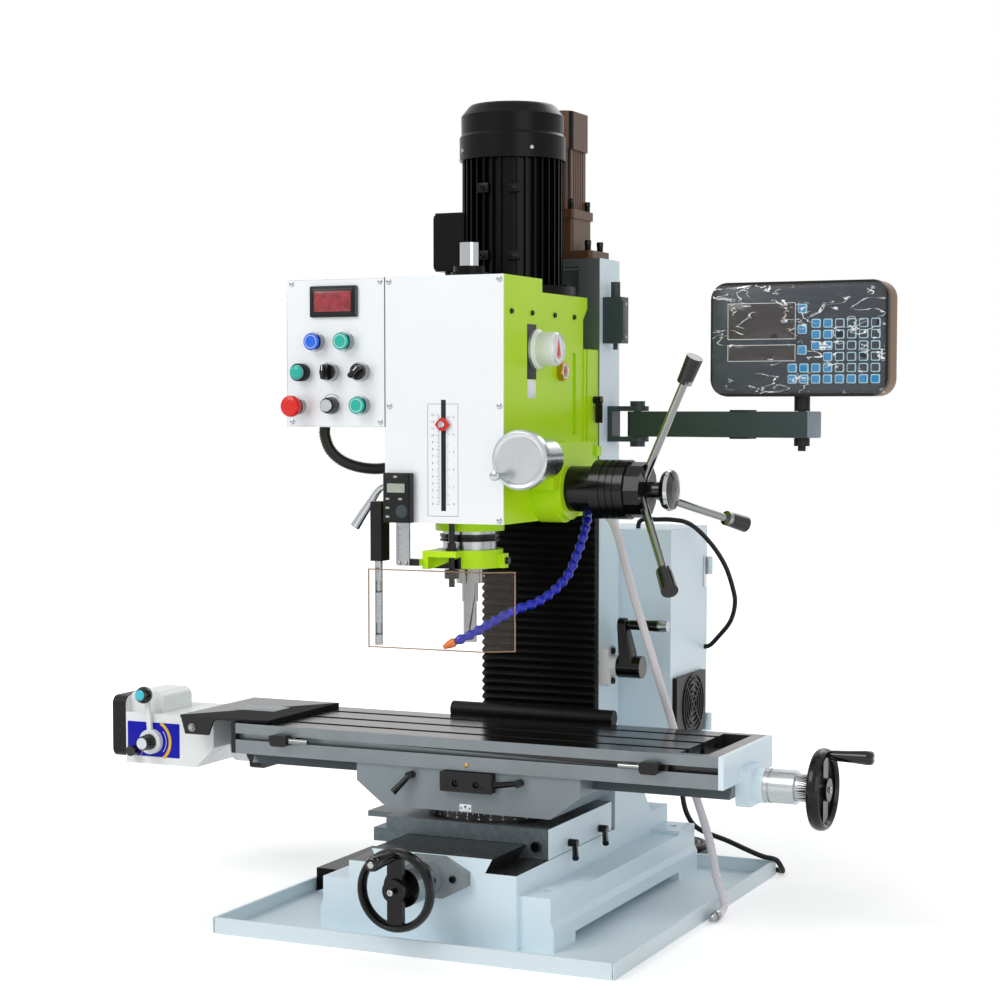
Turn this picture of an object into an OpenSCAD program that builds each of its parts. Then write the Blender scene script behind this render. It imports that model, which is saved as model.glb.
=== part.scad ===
// Gear head mill drill: cross table on a cast base, dovetail column, tilting head.
// Origin: on the floor below the spindle axis. X is right, Y is back, Z is up.

/* [Chip tray] */
// Width of the tray
tray_w = 640; // [560:5:760]
// Depth of the tray
tray_d = 732; // [660:2:860]
// Tray front edge ahead of the spindle axis
tray_reach = 217; // [190:1:260]
// Height of the tray rim
tray_rim_h = 24; // [16:1:40]
// Thickness of the sheet steel
sheet_t = 2; // [1.5:0.5:4]

/* [Base and column] */
// Width over the feet
base_w = 380; // [340:2:440]
// Width of the block between the feet
block_w = 272; // [250:2:300]
// Base front ahead of the spindle axis
base_reach = 132; // [120:1:160]
// Base rear behind the spindle axis
base_back = 490; // [460:2:560]
// Height of the cross ways above the floor
way_h = 131; // [120:1:160]
// Height of the foot pads above the floor
foot_h = 80; // [60:1:95]
// Spacing of the foundation bolts across
bolt_x = 320; // [300:2:340]
// Spacing of the foundation bolts front to back
bolt_y = 530; // [480:5:560]
// Diameter of the foundation bolt holes
bolt_d = 14; // [10:1:18]
// Spindle axis to the column face
throat = 268; // [250:1:320]
// Width of the column
column_w = 200; // [180:2:240]
// Depth of the column
column_d = 97; // [90:1:160]
// Height of the column top above the floor
column_h = 1015; // [960:5:1200]

/* [Cross table] */
// Length of the table
table_l = 800; // [640:10:1000]
// Width of the table
table_w = 230; // [200:2:260]
// Thickness of the table
table_t = 48; // [40:1:60]
// Width of the T-slots
slot_w = 14; // [10:1:18]
// Spacing of the T-slots
slot_pitch = 66; // [55:1:75]
// Thickness of the saddle over the ways
saddle_t = 25; // [20:1:35]
// Height of the swivel disc
swivel_t = 15; // [10:1:25]
// Height of the upper saddle
apron_h = 64; // [56:1:80]
// Width of the upper saddle
apron_w = 372; // [330:2:420]
// Diameter of both lead screws
screw_d = 18; // [14:1:22]
// Diameter of the handwheels
wheel_d = 120; // [100:2:150]

/* [Head] */
// Width of the head
head_w = 192; // [170:2:220]
// Head front ahead of the spindle axis
head_reach = 87; // [80:1:110]
// Head rear behind the spindle axis
head_back = 209; // [195:1:230]
// Height of the head underside above the floor
head_z = 610; // [560:5:700]
// Height of the head casting with its cover
head_h = 360; // [320:5:420]
// Height of the slide on the column
slide_h = 250; // [220:5:280]
// Diameter of the quill
quill_d = 82; // [70:1:90]
// Stroke of the quill
quill_stroke = 120; // [100:5:140]
// Diameter of the motor's fan cowl
cowl_d = 164; // [160:2:190]
// Diameter of the feed hub
hub_d = 88; // [80:1:96]
// Length of the feed spokes
spoke_l = 180; // [140:5:200]
// Width of the control panel
panel_w = 165; // [150:1:190]
// Height of the control panel
panel_h = 220; // [200:1:250]

/* [Display and cabinet] */
// Width of the display console
console_w = 276; // [240:2:320]
// Height of the display console
console_h = 172; // [150:2:200]
// Reach of the display arm
arm_l = 300; // [260:5:360]
// Height of the display arm above the floor
arm_z = 753; // [700:1:800]
// Width of the electrical cabinet
cabinet_w = 332; // [300:2:360]
// Height of the electrical cabinet
cabinet_h = 416; // [360:2:460]
// Depth of the electrical cabinet
cabinet_d = 176; // [150:2:220]

/* [Clearances] */
// Gap between faces that slide on each other
slide_gap = 0.4; // [0.3:0.05:0.8]
// Radial gap of a shaft in its bearing
bearing_gap = 0.05; // [0.02:0.01:0.1]
// Gap round pieces that pass each other freely
free_gap = 1; // [0.5:0.1:3]

/* [Hidden] */
$fn = 48;
over = 1;
fine = 32;

// Heights of the stack, from the floor up
way_z = way_h;
shelf_drop = 21;
shelf_z = way_z - shelf_drop;
saddle_z = way_z + saddle_t;
swivel_z = saddle_z + swivel_t;
apron_z = swivel_z + apron_h;
table_z = apron_z + table_t;
table_y = 95;
table_front = table_y - table_w / 2;
table_back = table_y + table_w / 2;

// Base details
block_half = block_w / 2;
foot_half = base_w / 2;
way_half = 98;
way_undercut = 12;
base_wall = 18;
pedestal_front = throat - 18;
pedestal_back = 436;
pedestal_h = 180;
foot_draft = 5;
pad_l = 76;
pad_drop = 6;
arch_h = 14;
arch_inset = 90;
bolt_mid_y = (base_back - base_reach) / 2 + 11;
way_slot_w = 44;
nut_y = 180;
nut_l = 30;
y_screw_z = 100;
y_screw_back = 236;

// Column details
column_flange_t = 26;
flange_half = 130;
column_r = 14;
channel_half = 64;
channel_d = 22;
channel_flare = 12;
well_half = 60;
well_back = 20;

// Cross slide travel and slide faces
saddle_front = -15;
saddle_back = 237;
saddle_half = 135;
swivel_r = 105;
spigot_d = 60;
spigot_h = 16;
apron_front = -15;
apron_back = 205;
apron_foot_half = 138;
apron_chamfer_z = 36;
dovetail_top = 52;
dovetail_low = 64;
dovetail_h = 22;
x_screw_z = 227;
x_screw_w = 34;
side_slot_z = 262;
side_slot_h = 10;
side_slot_d = 12;
t_slot_d = 20;
t_head_w = 22;
t_head_h = 9;
well_x = 336;
well_l = 44;

// Handwheels
rim_w = 20;
rim_t = 12;
wheel_hub_d = 34;
spoke_w = 24;
spoke_t = 9;
grip_l = 66;
grip_d = 21;
y_wheel_y = -243;
x_wheel_out = 110;
x_wheel_x = table_l / 2 + x_wheel_out;
y_plate_w = 126;
y_plate_h = 60;
y_plate_t = 14;

// Head details
cover_split = 65;
cover_z = head_z + head_h - cover_split;
head_top = head_z + head_h;
cover_low = 20;
cover_step_y = 50;
lip = 17;
wall = 10;
plate_t = 2;
plate_front = -head_reach - plate_t;
rod_y = -62;
rod_d = 9;
rod_channel = 14;
neck_d = 94;
neck_h = 14;
motor_y = 155;
motor_d = 156;
motor_z = 982;
motor_top = 1243;
cowl_z = 1158;
feed_y = 57;
feed_z = 658;
boss_d = 92;
boss_x = 142;
boss_block_z = 727;
tube_d = 68;
tube_end_x = 184;
drum_end_x = 262;
feed_shaft_d = 24;
dial_x = 128;
dial_z = 704;
dial_d = 86;
dial_front = -104;
tilt_z = 790;
tilt_d = 150;
slide_top = 870;
slide_z = slide_top - slide_h;
slide_half = column_w / 2 - 2;

// Quill group
quill_low = 553;
collar_z = 541;
collar_h = 27;
collar_d = 100;
spindle_d = 40;
nose_d = 62;
nose_low = 517;
arbor_d = 20;
arbor_low = 428;
tool_d = 14;
tool_l = 40;

// Display
arm_w = 40;
arm_pivot_x = 145;
arm_pivot_y = 320;
arm_slope = -13;
console_d = 50;
console_r = 26;
post_x = arm_pivot_x + arm_l * cos(arm_slope);
post_y = arm_pivot_y + arm_l * sin(arm_slope);
console_z = 796;

// Cabinet
cabinet_x = -146;
cabinet_y = throat + column_d + 0.5;
cabinet_z = 165;
cabinet_right = cabinet_x + cabinet_w;
cabinet_back = cabinet_y + cabinet_d;
fan_w = 140;
fan_z = 238;
fan_t = 8;

// Shared shapes
module move(p) { translate(p) children(); }
module up(z) { move([0, 0, z]) children(); }
module xcyl(d, l) { rotate([0, 90, 0]) cylinder(d = d, h = l); }
module ycyl(d, l) { rotate([-90, 0, 0]) cylinder(d = d, h = l); }
module zcyl(d, l) { cylinder(d = d, h = l); }
module rrect(w, h, r) {
    square([w - 2 * r, h], center = true);
    square([w, h - 2 * r], center = true);
    for (sx = [-1, 1], sy = [-1, 1]) move([sx * (w / 2 - r), sy * (h / 2 - r)]) circle(r = r, $fn = fine);
}
module slab(x0, x1, y0, y1, z0, z1) { move([x0, y0, z0]) cube([x1 - x0, y1 - y0, z1 - z0]); }
// Outline in the YZ plane pulled along X
module pull_x(x0, x1) { move([x0, 0, 0]) rotate([90, 0, 90]) linear_extrude(x1 - x0) children(); }
// Outline in the XZ plane pulled along Y
module pull_y(y0, y1) { move([0, y1, 0]) rotate([90, 0, 0]) linear_extrude(y1 - y0) children(); }

// Tube swept along a list of points, one ring at each point, with the ring's frame carried along
function unit(v) = v / norm(v);
function ahead(p, i) = unit(p[min(i + 1, len(p) - 1)] - p[max(i - 1, 0)]);
function first_side(t) = abs(t[2]) > 0.7 ? unit(cross(t, [0, 1, 0])) : unit(cross(t, [0, 0, 1]));
function sides(p, i, u) = i == len(p) ? [] :
    let (t = ahead(p, i), w = unit(u - (u * t) * t)) concat([w], sides(p, i + 1, w));
function rings(p, r, n) = let (w = sides(p, 0, first_side(ahead(p, 0))))
    [for (i = [0:len(p) - 1]) let (t = ahead(p, i), v = cross(t, w[i]))
        for (k = [0:n - 1]) p[i] + r[i] * (cos(360 * k / n) * w[i] + sin(360 * k / n) * v)];
// Faces of one skin of the tube from ring 0 to ring m, starting at point number s
function skin(m, n, s) = [for (i = [0:m - 1], k = [0:n - 1]) let (a = s + i * n + k, b = s + i * n + (k + 1) % n)
    each [[a, a + n, b], [b, a + n, b + n]]];
function skin_in(m, n, s) = [for (f = skin(m, n, s)) [f[2], f[1], f[0]]];
module tube(p, d, n) {
    m = len(p) - 1;
    polyhedron(points = rings(p, [for (q = p) d / 2], n), faces = concat([[for (k = [0:n - 1]) k]],
        [[for (k = [n - 1:-1:0]) m * n + k]], skin(m, n, 0)));
}
// Ribbed hose with an open bore: one outer radius for each point
module ribbed(p, r, bore, n) {
    m = len(p) - 1;
    c = (m + 1) * n;
    polyhedron(points = concat(rings(p, r, n), rings(p, [for (q = p) bore / 2], n)), faces = concat(
        skin(m, n, 0), skin_in(m, n, c),
        [for (k = [0:n - 1]) let (b = (k + 1) % n) each [[k, b, c + k], [b, c + b, c + k]]],
        [for (k = [0:n - 1]) let (b = (k + 1) % n, e = m * n) each [[e + b, e + k, c + e + k], [c + e + b, e + b, c + e + k]]]));
}
// Smooth path through chosen points, g steps between two of them
function pick(p, i) = p[max(0, min(len(p) - 1, i))];
function smooth(p, g) = concat([for (i = [0:len(p) - 2], k = [0:g - 1]) let (t = k / g, a = pick(p, i - 1), b = p[i], c = p[i + 1], d = pick(p, i + 2))
    0.5 * (2 * b + (c - a) * t + (2 * a - 5 * b + 4 * c - d) * t * t + (3 * b - a - 3 * c + d) * t * t * t)], [p[len(p) - 1]]);

// Chip tray
tray_half = tray_w / 2;
tray_front = -tray_reach;
tray_back = tray_d - tray_reach;
hem = 5;
mitre = 2;
module chip_tray() color("gainsboro") {
    difference() {
        union() {
            slab(-tray_half, tray_half, tray_front, tray_back, 0, sheet_t);
            for (s = [0, 1]) mirror([s, 0, 0]) {
                slab(tray_half - sheet_t, tray_half, tray_front, tray_back, 0, tray_rim_h);
                slab(tray_half - hem, tray_half, tray_front, tray_back, tray_rim_h - sheet_t, tray_rim_h);
            }
            slab(-tray_half, tray_half, tray_front, tray_front + sheet_t, 0, tray_rim_h);
            slab(-tray_half, tray_half, tray_front, tray_front + hem, tray_rim_h - sheet_t, tray_rim_h);
            slab(-tray_half, tray_half, tray_back - sheet_t, tray_back, 0, tray_rim_h);
            slab(-tray_half, tray_half, tray_back - hem, tray_back, tray_rim_h - sheet_t, tray_rim_h);
        }
        for (sx = [-1, 1], y = [tray_front, tray_back])
            move([sx * (tray_half - hem / 2), y, sheet_t]) linear_extrude(tray_rim_h)
                square([mitre, 3 * hem], center = true);
        foundation_holes(0);
    }
    strainer();
}
module foundation_holes(z) {
    for (sx = [-1, 1], sy = [-1, 1])
        move([sx * bolt_x / 2, bolt_mid_y + sy * bolt_y / 2, z - over]) zcyl(bolt_d, foot_h + 2 * over);
}
// Low strainer box on the tray floor, left of the base
strainer_w = 104;
strainer_l = 190;
strainer_h = 38;
strainer_y = 84;
module strainer() {
    move([-tray_half + hem + free_gap, strainer_y, sheet_t]) difference() {
        cube([strainer_w, strainer_l, strainer_h]);
        move([sheet_t, sheet_t, -over]) cube([strainer_w - 2 * sheet_t, strainer_l - 2 * sheet_t, strainer_h - sheet_t + over]);
    }
}

// Base casting with feet, cross ways and pedestal
module base_half_outline(inset) {
    polygon([[block_half - over, sheet_t], [foot_half, sheet_t], [foot_half, foot_h / 2 - foot_draft],
        [foot_half - foot_draft, foot_h / 2 + foot_draft], [foot_half - foot_draft, foot_h - inset],
        [block_half - over, foot_h - inset]]);
}
module base_casting() color("aliceblue") {
    difference() {
        union() {
            slab(-block_half, block_half, -base_reach, base_back, sheet_t, shelf_z);
            pull_y(-base_reach, pedestal_front) polygon([[-way_half + way_undercut, shelf_z - over],
                [way_half - way_undercut, shelf_z - over], [way_half, way_z], [-way_half, way_z]]);
            pull_x(-block_half, block_half) polygon([[pedestal_front, sheet_t], [base_back, sheet_t], [base_back, foot_h],
                [pedestal_back, foot_h + foot_draft], [cabinet_y, cabinet_z - free_gap],
                [cabinet_y - free_gap, pedestal_h], [pedestal_front, pedestal_h]]);
            for (s = [0, 1]) mirror([s, 0, 0]) {
                pull_y(-base_reach + base_wall / 2, base_back) base_half_outline(pad_drop);
                pull_y(-base_reach + base_wall / 2, -base_reach + base_wall / 2 + pad_l) base_half_outline(0);
                pull_y(base_back - pad_l, base_back) base_half_outline(0);
            }
        }
        // Hollow under the casting, and the screw's trough with its slot for the nut
        slab(-block_half + base_wall, block_half - base_wall, -base_reach + base_wall, base_back - base_wall,
            sheet_t - over, foot_h - base_wall / 2);
        slab(-way_slot_w / 2, way_slot_w / 2, -base_reach + base_wall, y_screw_back + base_wall / 2,
            foot_h - base_wall, shelf_z + base_wall / 4);
        slab(-way_slot_w / 2, way_slot_w / 2, nut_y - cross_travel - nut_l / 2 - 2 * free_gap, y_screw_back + base_wall / 2,
            foot_h - base_wall, way_z + over);
        move([0, -base_reach - over, y_screw_z]) ycyl(screw_d + 2 * bearing_gap, base_wall + 2 * over);
        for (s = [0, 1]) mirror([s, 0, 0])
            slab(block_half + over, foot_half + over, -base_reach + arch_inset, base_back - arch_inset,
                sheet_t - over, sheet_t + arch_h);
        foundation_holes(sheet_t);
    }
    y_bearing_plate();
}
cross_travel = 175;
// Bearing plate of the cross screw, bolted to the base front
y_boss_d = 52;
y_boss_l = 26;
module y_bearing_plate() {
    difference() {
        union() {
            pull_y(-base_reach - y_plate_t, -base_reach) move([0, y_screw_z]) polygon([
                [-y_plate_w / 2, -y_plate_h / 6], [-y_plate_w / 5, -y_plate_h / 2], [y_plate_w / 5, -y_plate_h / 2],
                [y_plate_w / 2, -y_plate_h / 6], [y_plate_w / 2, y_plate_h / 6], [y_plate_w / 5, y_plate_h / 2],
                [-y_plate_w / 5, y_plate_h / 2], [-y_plate_w / 2, y_plate_h / 6]]);
            move([0, -base_reach - y_plate_t - y_boss_l, y_screw_z]) ycyl(y_boss_d, y_boss_l + over);
        }
        move([0, -base_reach - y_plate_t - y_boss_l - over, y_screw_z])
            ycyl(screw_d + 2 * bearing_gap, y_plate_t + y_boss_l + 2 * over);
        for (s = [-1, 1]) move([s * y_plate_w / 3, -base_reach - y_plate_t - over, y_screw_z])
            ycyl(y_plate_t * 0.7, y_plate_t / 2 + over);
    }
}

// Column with flange, inner dovetail channel and hollow well
module column_outline() {
    difference() {
        union() {
            move([-column_w / 2, throat]) square([column_w, column_d - column_r]);
            move([-column_w / 2 + column_r, throat]) square([column_w - 2 * column_r, column_d]);
            for (s = [-1, 1]) move([s * (column_w / 2 - column_r), throat + column_d - column_r])
                circle(r = column_r, $fn = fine);
        }
        polygon([[-channel_half, throat - over], [channel_half, throat - over], [channel_half, throat],
            [channel_half + channel_flare, throat + channel_d], [-channel_half - channel_flare, throat + channel_d],
            [-channel_half, throat]]);
        move([-well_half, throat + channel_d - over]) square([2 * well_half, column_d - channel_d - well_back]);
    }
}
module column() color("aliceblue") {
    difference() {
        union() {
            up(pedestal_h) linear_extrude(column_h - pedestal_h) column_outline();
            slab(-flange_half, flange_half, throat, cabinet_y - free_gap, pedestal_h, pedestal_h + column_flange_t);
            slab(-column_w / 2, column_w / 2, throat, throat + column_d - column_r,
                column_h - column_flange_t / 2, column_h);
        }
        slab(-well_half, well_half, throat + channel_d, throat + column_d - well_back, pedestal_h - over,
            pedestal_h + column_flange_t + over);
    }
    for (sx = [-1, 1], y = [throat + column_r, throat + column_d - column_r])
        move([sx * (flange_half - column_r), y, pedestal_h + column_flange_t]) zcyl(column_r, column_r);
}

// Folded way cover between the slide and the column foot
bellows_z = 290;
fold_w = 200;
fold_d = 14;
fold_gap = 3;
fold_count = 26;
bellows_front = throat - fold_gap - fold_d;
module bellows() color("black") {
    pitch = (slide_z - slide_gap - bellows_z) / fold_count;
    pull_x(-fold_w / 2, fold_w / 2) polygon(concat(
        [[throat - fold_gap, bellows_z], [throat - fold_gap, slide_z - slide_gap]],
        [for (i = [fold_count:-1:1]) each [[bellows_front + fold_d / 2, bellows_z + i * pitch],
            [bellows_front, bellows_z + (i - 0.5) * pitch]]],
        [[bellows_front + fold_d / 2, bellows_z]]));
}

// Pieces bolted to the column: crank flange, display bracket, limit switch, rolled way cover
crank_y = 286;
crank_z = 366;
crank_flange_d = 66;
crank_flange_t = 16;
crank_boss_d = 34;
crank_boss_l = 12;
crank_shaft_d = 14;
clevis_gap = arm_w + 2 * slide_gap;
clevis_t = 8;
clevis_w = 36;
pivot_d = 12;
switch_y = 296;
switch_z = 881;
switch_w = 30;
switch_h = 73;
switch_t = 32;
roll_d = 26;
roll_l = 282;
roll_y = 233;
roll_z = 289;
module column_fittings() color("dimgray") {
    x0 = column_w / 2;
    // Crank flange
    move([x0, crank_y, crank_z]) difference() {
        union() {
            intersection() {
                xcyl(crank_flange_d, crank_flange_t);
                move([0, -crank_flange_d * 0.27, -crank_flange_d / 2]) cube([crank_flange_t, crank_flange_d * 0.54, crank_flange_d]);
            }
            xcyl(crank_boss_d, crank_flange_t + crank_boss_l);
        }
        move([crank_flange_t / 2, 0, 0]) xcyl(crank_shaft_d + 2 * bearing_gap, crank_flange_t + crank_boss_l);
        for (s = [-1, 1]) move([-over, 0, s * crank_flange_d * 0.36]) xcyl(crank_flange_t / 2, crank_flange_t + 2 * over);
    }
    // Wall bracket of the display arm
    up(arm_z) difference() {
        union() {
            slab(x0, x0 + clevis_t, arm_pivot_y - clevis_w / 2, arm_pivot_y + clevis_w / 2,
                -clevis_gap / 2 - clevis_t, clevis_gap / 2 + clevis_t);
            for (s = [0, 1]) mirror([0, 0, s]) {
                slab(x0 + clevis_t - over, arm_pivot_x, arm_pivot_y - clevis_w / 2, arm_pivot_y + clevis_w / 2,
                    clevis_gap / 2, clevis_gap / 2 + clevis_t);
                move([arm_pivot_x, arm_pivot_y, clevis_gap / 2]) zcyl(clevis_w, clevis_t);
            }
        }
        move([arm_pivot_x, arm_pivot_y, -arm_w]) zcyl(pivot_d, 2 * arm_w);
    }
    move([arm_pivot_x, arm_pivot_y, arm_z - clevis_gap / 2 - 2 * clevis_t]) {
        zcyl(pivot_d, clevis_gap + 4 * clevis_t);
        zcyl(2 * pivot_d, clevis_t);
        up(clevis_gap + 3 * clevis_t) zcyl(2 * pivot_d, clevis_t);
    }
    // Limit switch with gland and plunger
    move([x0, switch_y - switch_w / 2, switch_z]) cube([switch_t, switch_w, switch_h]);
    move([x0 + switch_t / 2, switch_y, switch_z - switch_w / 3]) zcyl(switch_w / 4, switch_w / 3);
    move([x0 + switch_t / 2, switch_y, switch_z + switch_h]) zcyl(switch_w / 2, switch_w * 0.8);
    // Rolled rubber way cover on its bar
    move([-roll_l / 2, roll_y, roll_z]) xcyl(roll_d, roll_l);
    slab(clevis_t - column_w / 2, column_w / 2 - clevis_t, roll_y + roll_d / 3, throat, roll_z - roll_d / 2 - clevis_t / 2, roll_z - roll_d / 3);
}

// Elevation gear motor on the column top
gm_w = 80;
gm_y = 322;
gm_flange_t = 14;
gm_gear_h = 52;
gm_mid_t = 14;
gm_body_h = 96;
gm_cap_h = 60;
module elevation_motor() color("dimgray") {
    z1 = column_h + gm_flange_t;
    z2 = z1 + gm_gear_h;
    z3 = z2 + gm_mid_t;
    z4 = z3 + gm_body_h;
    move([0, gm_y, column_h]) linear_extrude(gm_flange_t) rrect(2 * gm_w, gm_w, gm_w / 12);
    move([0, gm_y, z1]) linear_extrude(gm_gear_h) rrect(gm_w + gm_flange_t, gm_w, gm_w / 16);
    move([0, gm_y, z2]) linear_extrude(gm_mid_t) rrect(gm_w * 1.25, gm_w + gm_mid_t / 2, gm_w / 16);
    move([0, gm_y, z3]) linear_extrude(gm_body_h) difference() {
        rrect(gm_w, gm_w, gm_w / 8);
        for (a = [0:90:270], i = [-2:2]) rotate(a) move([i * gm_w / 9, gm_w / 2]) square(gm_w / 24, center = true);
    }
    move([0, gm_y, z4]) linear_extrude(gm_cap_h) rrect(gm_w * 1.1, gm_w * 1.1, gm_w / 5);
    for (sx = [-1, 1], sy = [-1, 1]) {
        move([sx * gm_w * 0.53, gm_y + sy * gm_w * 0.42, z3]) zcyl(gm_w / 9, gm_w / 8);
        move([sx * gm_w * 0.85, gm_y + sy * gm_w * 0.32, z1]) zcyl(gm_w / 8, gm_w / 8);
    }
}

// Electrical cabinet: sheet box, open at the back for its door
cab_t = 2;
gland_x = 150;
gland_y = 520;
gland_d = 22;
gland_h = 12;
module cabinet() color("aliceblue") {
    difference() {
        slab(cabinet_x, cabinet_right, cabinet_y, cabinet_back, cabinet_z, cabinet_z + cabinet_h);
        slab(cabinet_x + cab_t, cabinet_right - cab_t, cabinet_y + cab_t, cabinet_back + over,
            cabinet_z + cab_t, cabinet_z + cabinet_h - cab_t);
    }
    // Gland of the mains cord
    move([gland_x, gland_y, cabinet_z - gland_h]) zcyl(gland_d, gland_h);
    // Fan guard on the right panel
    move([cabinet_right, cabinet_y + cabinet_d / 2 - fan_w / 2 - fan_t, fan_z]) difference() {
        cube([fan_t, fan_w, fan_w * 0.72]);
        move([fan_t / 2, fan_w / 2, fan_w * 0.36]) for (i = [1:4])
            rotate([0, 90, 0]) difference() {
                cylinder(d = fan_w * 0.16 * i, h = fan_t);
                up(-over) cylinder(d = fan_w * 0.16 * i - fan_t / 2, h = fan_t + 2 * over);
            }
    }
}
hinge_d = 10;
hinge_h = 30;
module cabinet_door() color("aliceblue") {
    slab(cabinet_x, cabinet_right, cabinet_back + slide_gap, cabinet_back + slide_gap + cab_t,
        cabinet_z, cabinet_z + cabinet_h);
    for (z = [cabinet_z + cabinet_h * 0.16, cabinet_z + cabinet_h * 0.8])
        move([cabinet_right + hinge_d / 2, cabinet_back + slide_gap + cab_t / 2, z]) {
            zcyl(hinge_d, hinge_h);
            move([-hinge_d, -cab_t / 2, 0]) cube([hinge_d, cab_t, hinge_h]);
        }
    move([cabinet_x + cabinet_w * 0.08, cabinet_back + slide_gap + cab_t, cabinet_z + cabinet_h / 2])
        ycyl(hinge_d * 2, hinge_d);
}

// Elevation crank with its handle
arm_c = 67;
crank_hub_d = 36;
crank_hub_l = 40;
crank_eye_d = 22;
crank_arm_t = 12;
crank_grip_l = 70;
crank_grip_d = 19;
module elevation_crank() color("black") {
    x1 = column_w / 2 + crank_flange_t + crank_boss_l + slide_gap;
    move([column_w / 2 + crank_flange_t / 2 + slide_gap, crank_y, crank_z])
        xcyl(crank_shaft_d, crank_flange_t / 2 + crank_boss_l + crank_hub_l / 2);
    move([x1, crank_y, crank_z]) {
        difference() {
            union() {
                xcyl(crank_hub_d, crank_hub_l);
                hull() {
                    move([crank_hub_l / 6, 0, 0]) rotate([0, 90, 0]) cylinder(d = crank_hub_d, h = crank_hub_l / 2, $fn = fine);
                    up(arm_c) rotate([0, 90, 0]) cylinder(d = crank_eye_d, h = crank_arm_t, $fn = fine);
                }
            }
            move([-over, 0, 0]) xcyl(crank_shaft_d, crank_hub_l / 2 + over);
        }
        move([crank_arm_t, 0, arm_c]) rotate([0, 90, 0])
            rotate_extrude() polygon([for (p = grip_shares) [p[0] * crank_grip_d, p[1] * crank_grip_l]]);
    }
}
// Outline of a turned grip, as shares of its diameter and length
grip_shares = [[0, 0], [0.32, 0], [0.4, 0.1], [0.44, 0.5], [0.5, 0.86], [0.44, 1], [0, 1]];

// Handwheel shapes: rim, bar spoke and hub about the Z axis, open centre
module wheel_rim() {
    rotate_extrude($fn = 96) move([wheel_d / 2 - rim_t / 2, 0])
        polygon([for (a = [0:30:330]) [rim_t / 2 * cos(a), rim_w / 2 + rim_w / 2 * sin(a)]]);
}
module wheel_body() {
    wheel_rim();
    move([-spoke_w / 2, -wheel_d / 2 + rim_t / 2, rim_w / 2 - spoke_t / 2]) cube([spoke_w, wheel_d - rim_t, spoke_t]);
    up(-wheel_hub_d / 5) cylinder(d = wheel_hub_d, h = rim_w + wheel_hub_d / 5);
}
grip_c = wheel_d / 2 - rim_t * 0.8;
module grip(z) {
    up(z) rotate_extrude() polygon([for (p = grip_shares) [p[0] * grip_d, p[1] * grip_l]]);
}
grip_stem_d = 8;
module grip_stem() { move([0, grip_c, rim_w / 2 - spoke_t / 2]) cylinder(d = grip_stem_d, h = rim_w / 2 + spoke_t / 2 + slide_gap); }

// Cross handwheel with dial and screw: its axis runs along Y
module y_handwheel() color("black") {
    y0 = -base_reach - y_plate_t - y_boss_l - slide_gap;
    move([0, y_wheel_y + rim_w / 2, y_screw_z]) rotate([90, 0, 0]) {
        wheel_body();
        grip_stem();
    }
    color("silver") move([0, y_wheel_y + rim_w / 2 + wheel_hub_d / 5, y_screw_z]) ycyl(y_boss_d * 1.1, y0 - y_wheel_y - rim_w / 2 - wheel_hub_d / 5);
    color("silver") move([0, y0 - over, y_screw_z]) ycyl(screw_d, y_screw_back - y0);
}
module y_wheel_handle() color("black")
    move([0, y_wheel_y + rim_w / 2, y_screw_z]) rotate([90, 0, 0]) move([0, grip_c, 0]) grip(rim_w + slide_gap);

// Saddle on the cross ways, with swivel disc and nut
module saddle() color("slategray") {
    difference() {
        union() {
            slab(-saddle_half, saddle_half, saddle_front, saddle_back, shelf_z + slide_gap, saddle_z);
            move([0, table_y, saddle_z - over]) zcyl(2 * swivel_r, swivel_t + over);
            move([0, table_y, swivel_z - over]) zcyl(spigot_d, spigot_h + over);
            move([0, nut_y, way_z]) slab(-way_slot_w / 2 + free_gap, way_slot_w / 2 - free_gap, -nut_l / 2, nut_l / 2,
                y_screw_z - way_z - screw_d, saddle_t / 2);
        }
        pull_y(saddle_front - over, nut_y - nut_l / 2) way_gap();
        pull_y(nut_y + nut_l / 2, saddle_back + over) way_gap();
        pull_y(nut_y - nut_l / 2, nut_y + nut_l / 2) difference() {
            way_gap();
            move([0, y_screw_z]) square([way_slot_w - 2 * free_gap, 4 * saddle_t], center = true);
        }
        move([0, saddle_front - over, y_screw_z]) ycyl(screw_d + 2 * bearing_gap, saddle_back - saddle_front + 2 * over);
    }
    // Cover bracket on the left side
    slab(-saddle_half - saddle_t * 1.8, -saddle_half, saddle_front + saddle_t, saddle_front + 3 * saddle_t, saddle_z - saddle_t / 3, saddle_z);
    slab(-saddle_half - saddle_t * 1.4, -saddle_half, saddle_front + saddle_t, saddle_front + 3 * saddle_t, shelf_z + slide_gap, saddle_z - saddle_t);
}
module way_gap() {
    polygon([[-way_half + way_undercut - slide_gap, shelf_z - over], [way_half - way_undercut + slide_gap, shelf_z - over],
        [way_half + slide_gap, way_z + slide_gap], [-way_half - slide_gap, way_z + slide_gap]]);
}

// Lock lever: screw along -Z from the origin, arm bent out
lever_d = 9;
lever_l = 36;
module lock_lever(stem) {
    up(-stem) cylinder(d = lever_d * 0.8, h = stem + lever_d);
    cylinder(d = lever_d * 1.3, h = lever_d * 1.5);
    up(lever_d) rotate([0, 68, 0]) cylinder(d1 = lever_d * 0.9, d2 = lever_d * 1.15, h = lever_l);
}
lock_z = shelf_z + shelf_drop / 2 + 2;
lock_y1 = 64;
lock_y2 = 185;
module saddle_lock_front() color("black")
    move([saddle_half + slide_gap, lock_y1, lock_z]) rotate([0, 90, 0]) rotate(-60) lock_lever(0);
module saddle_lock_rear() color("black")
    move([saddle_half + slide_gap, lock_y2, lock_z]) rotate([0, 90, 0]) rotate(-60) lock_lever(0);

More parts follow.
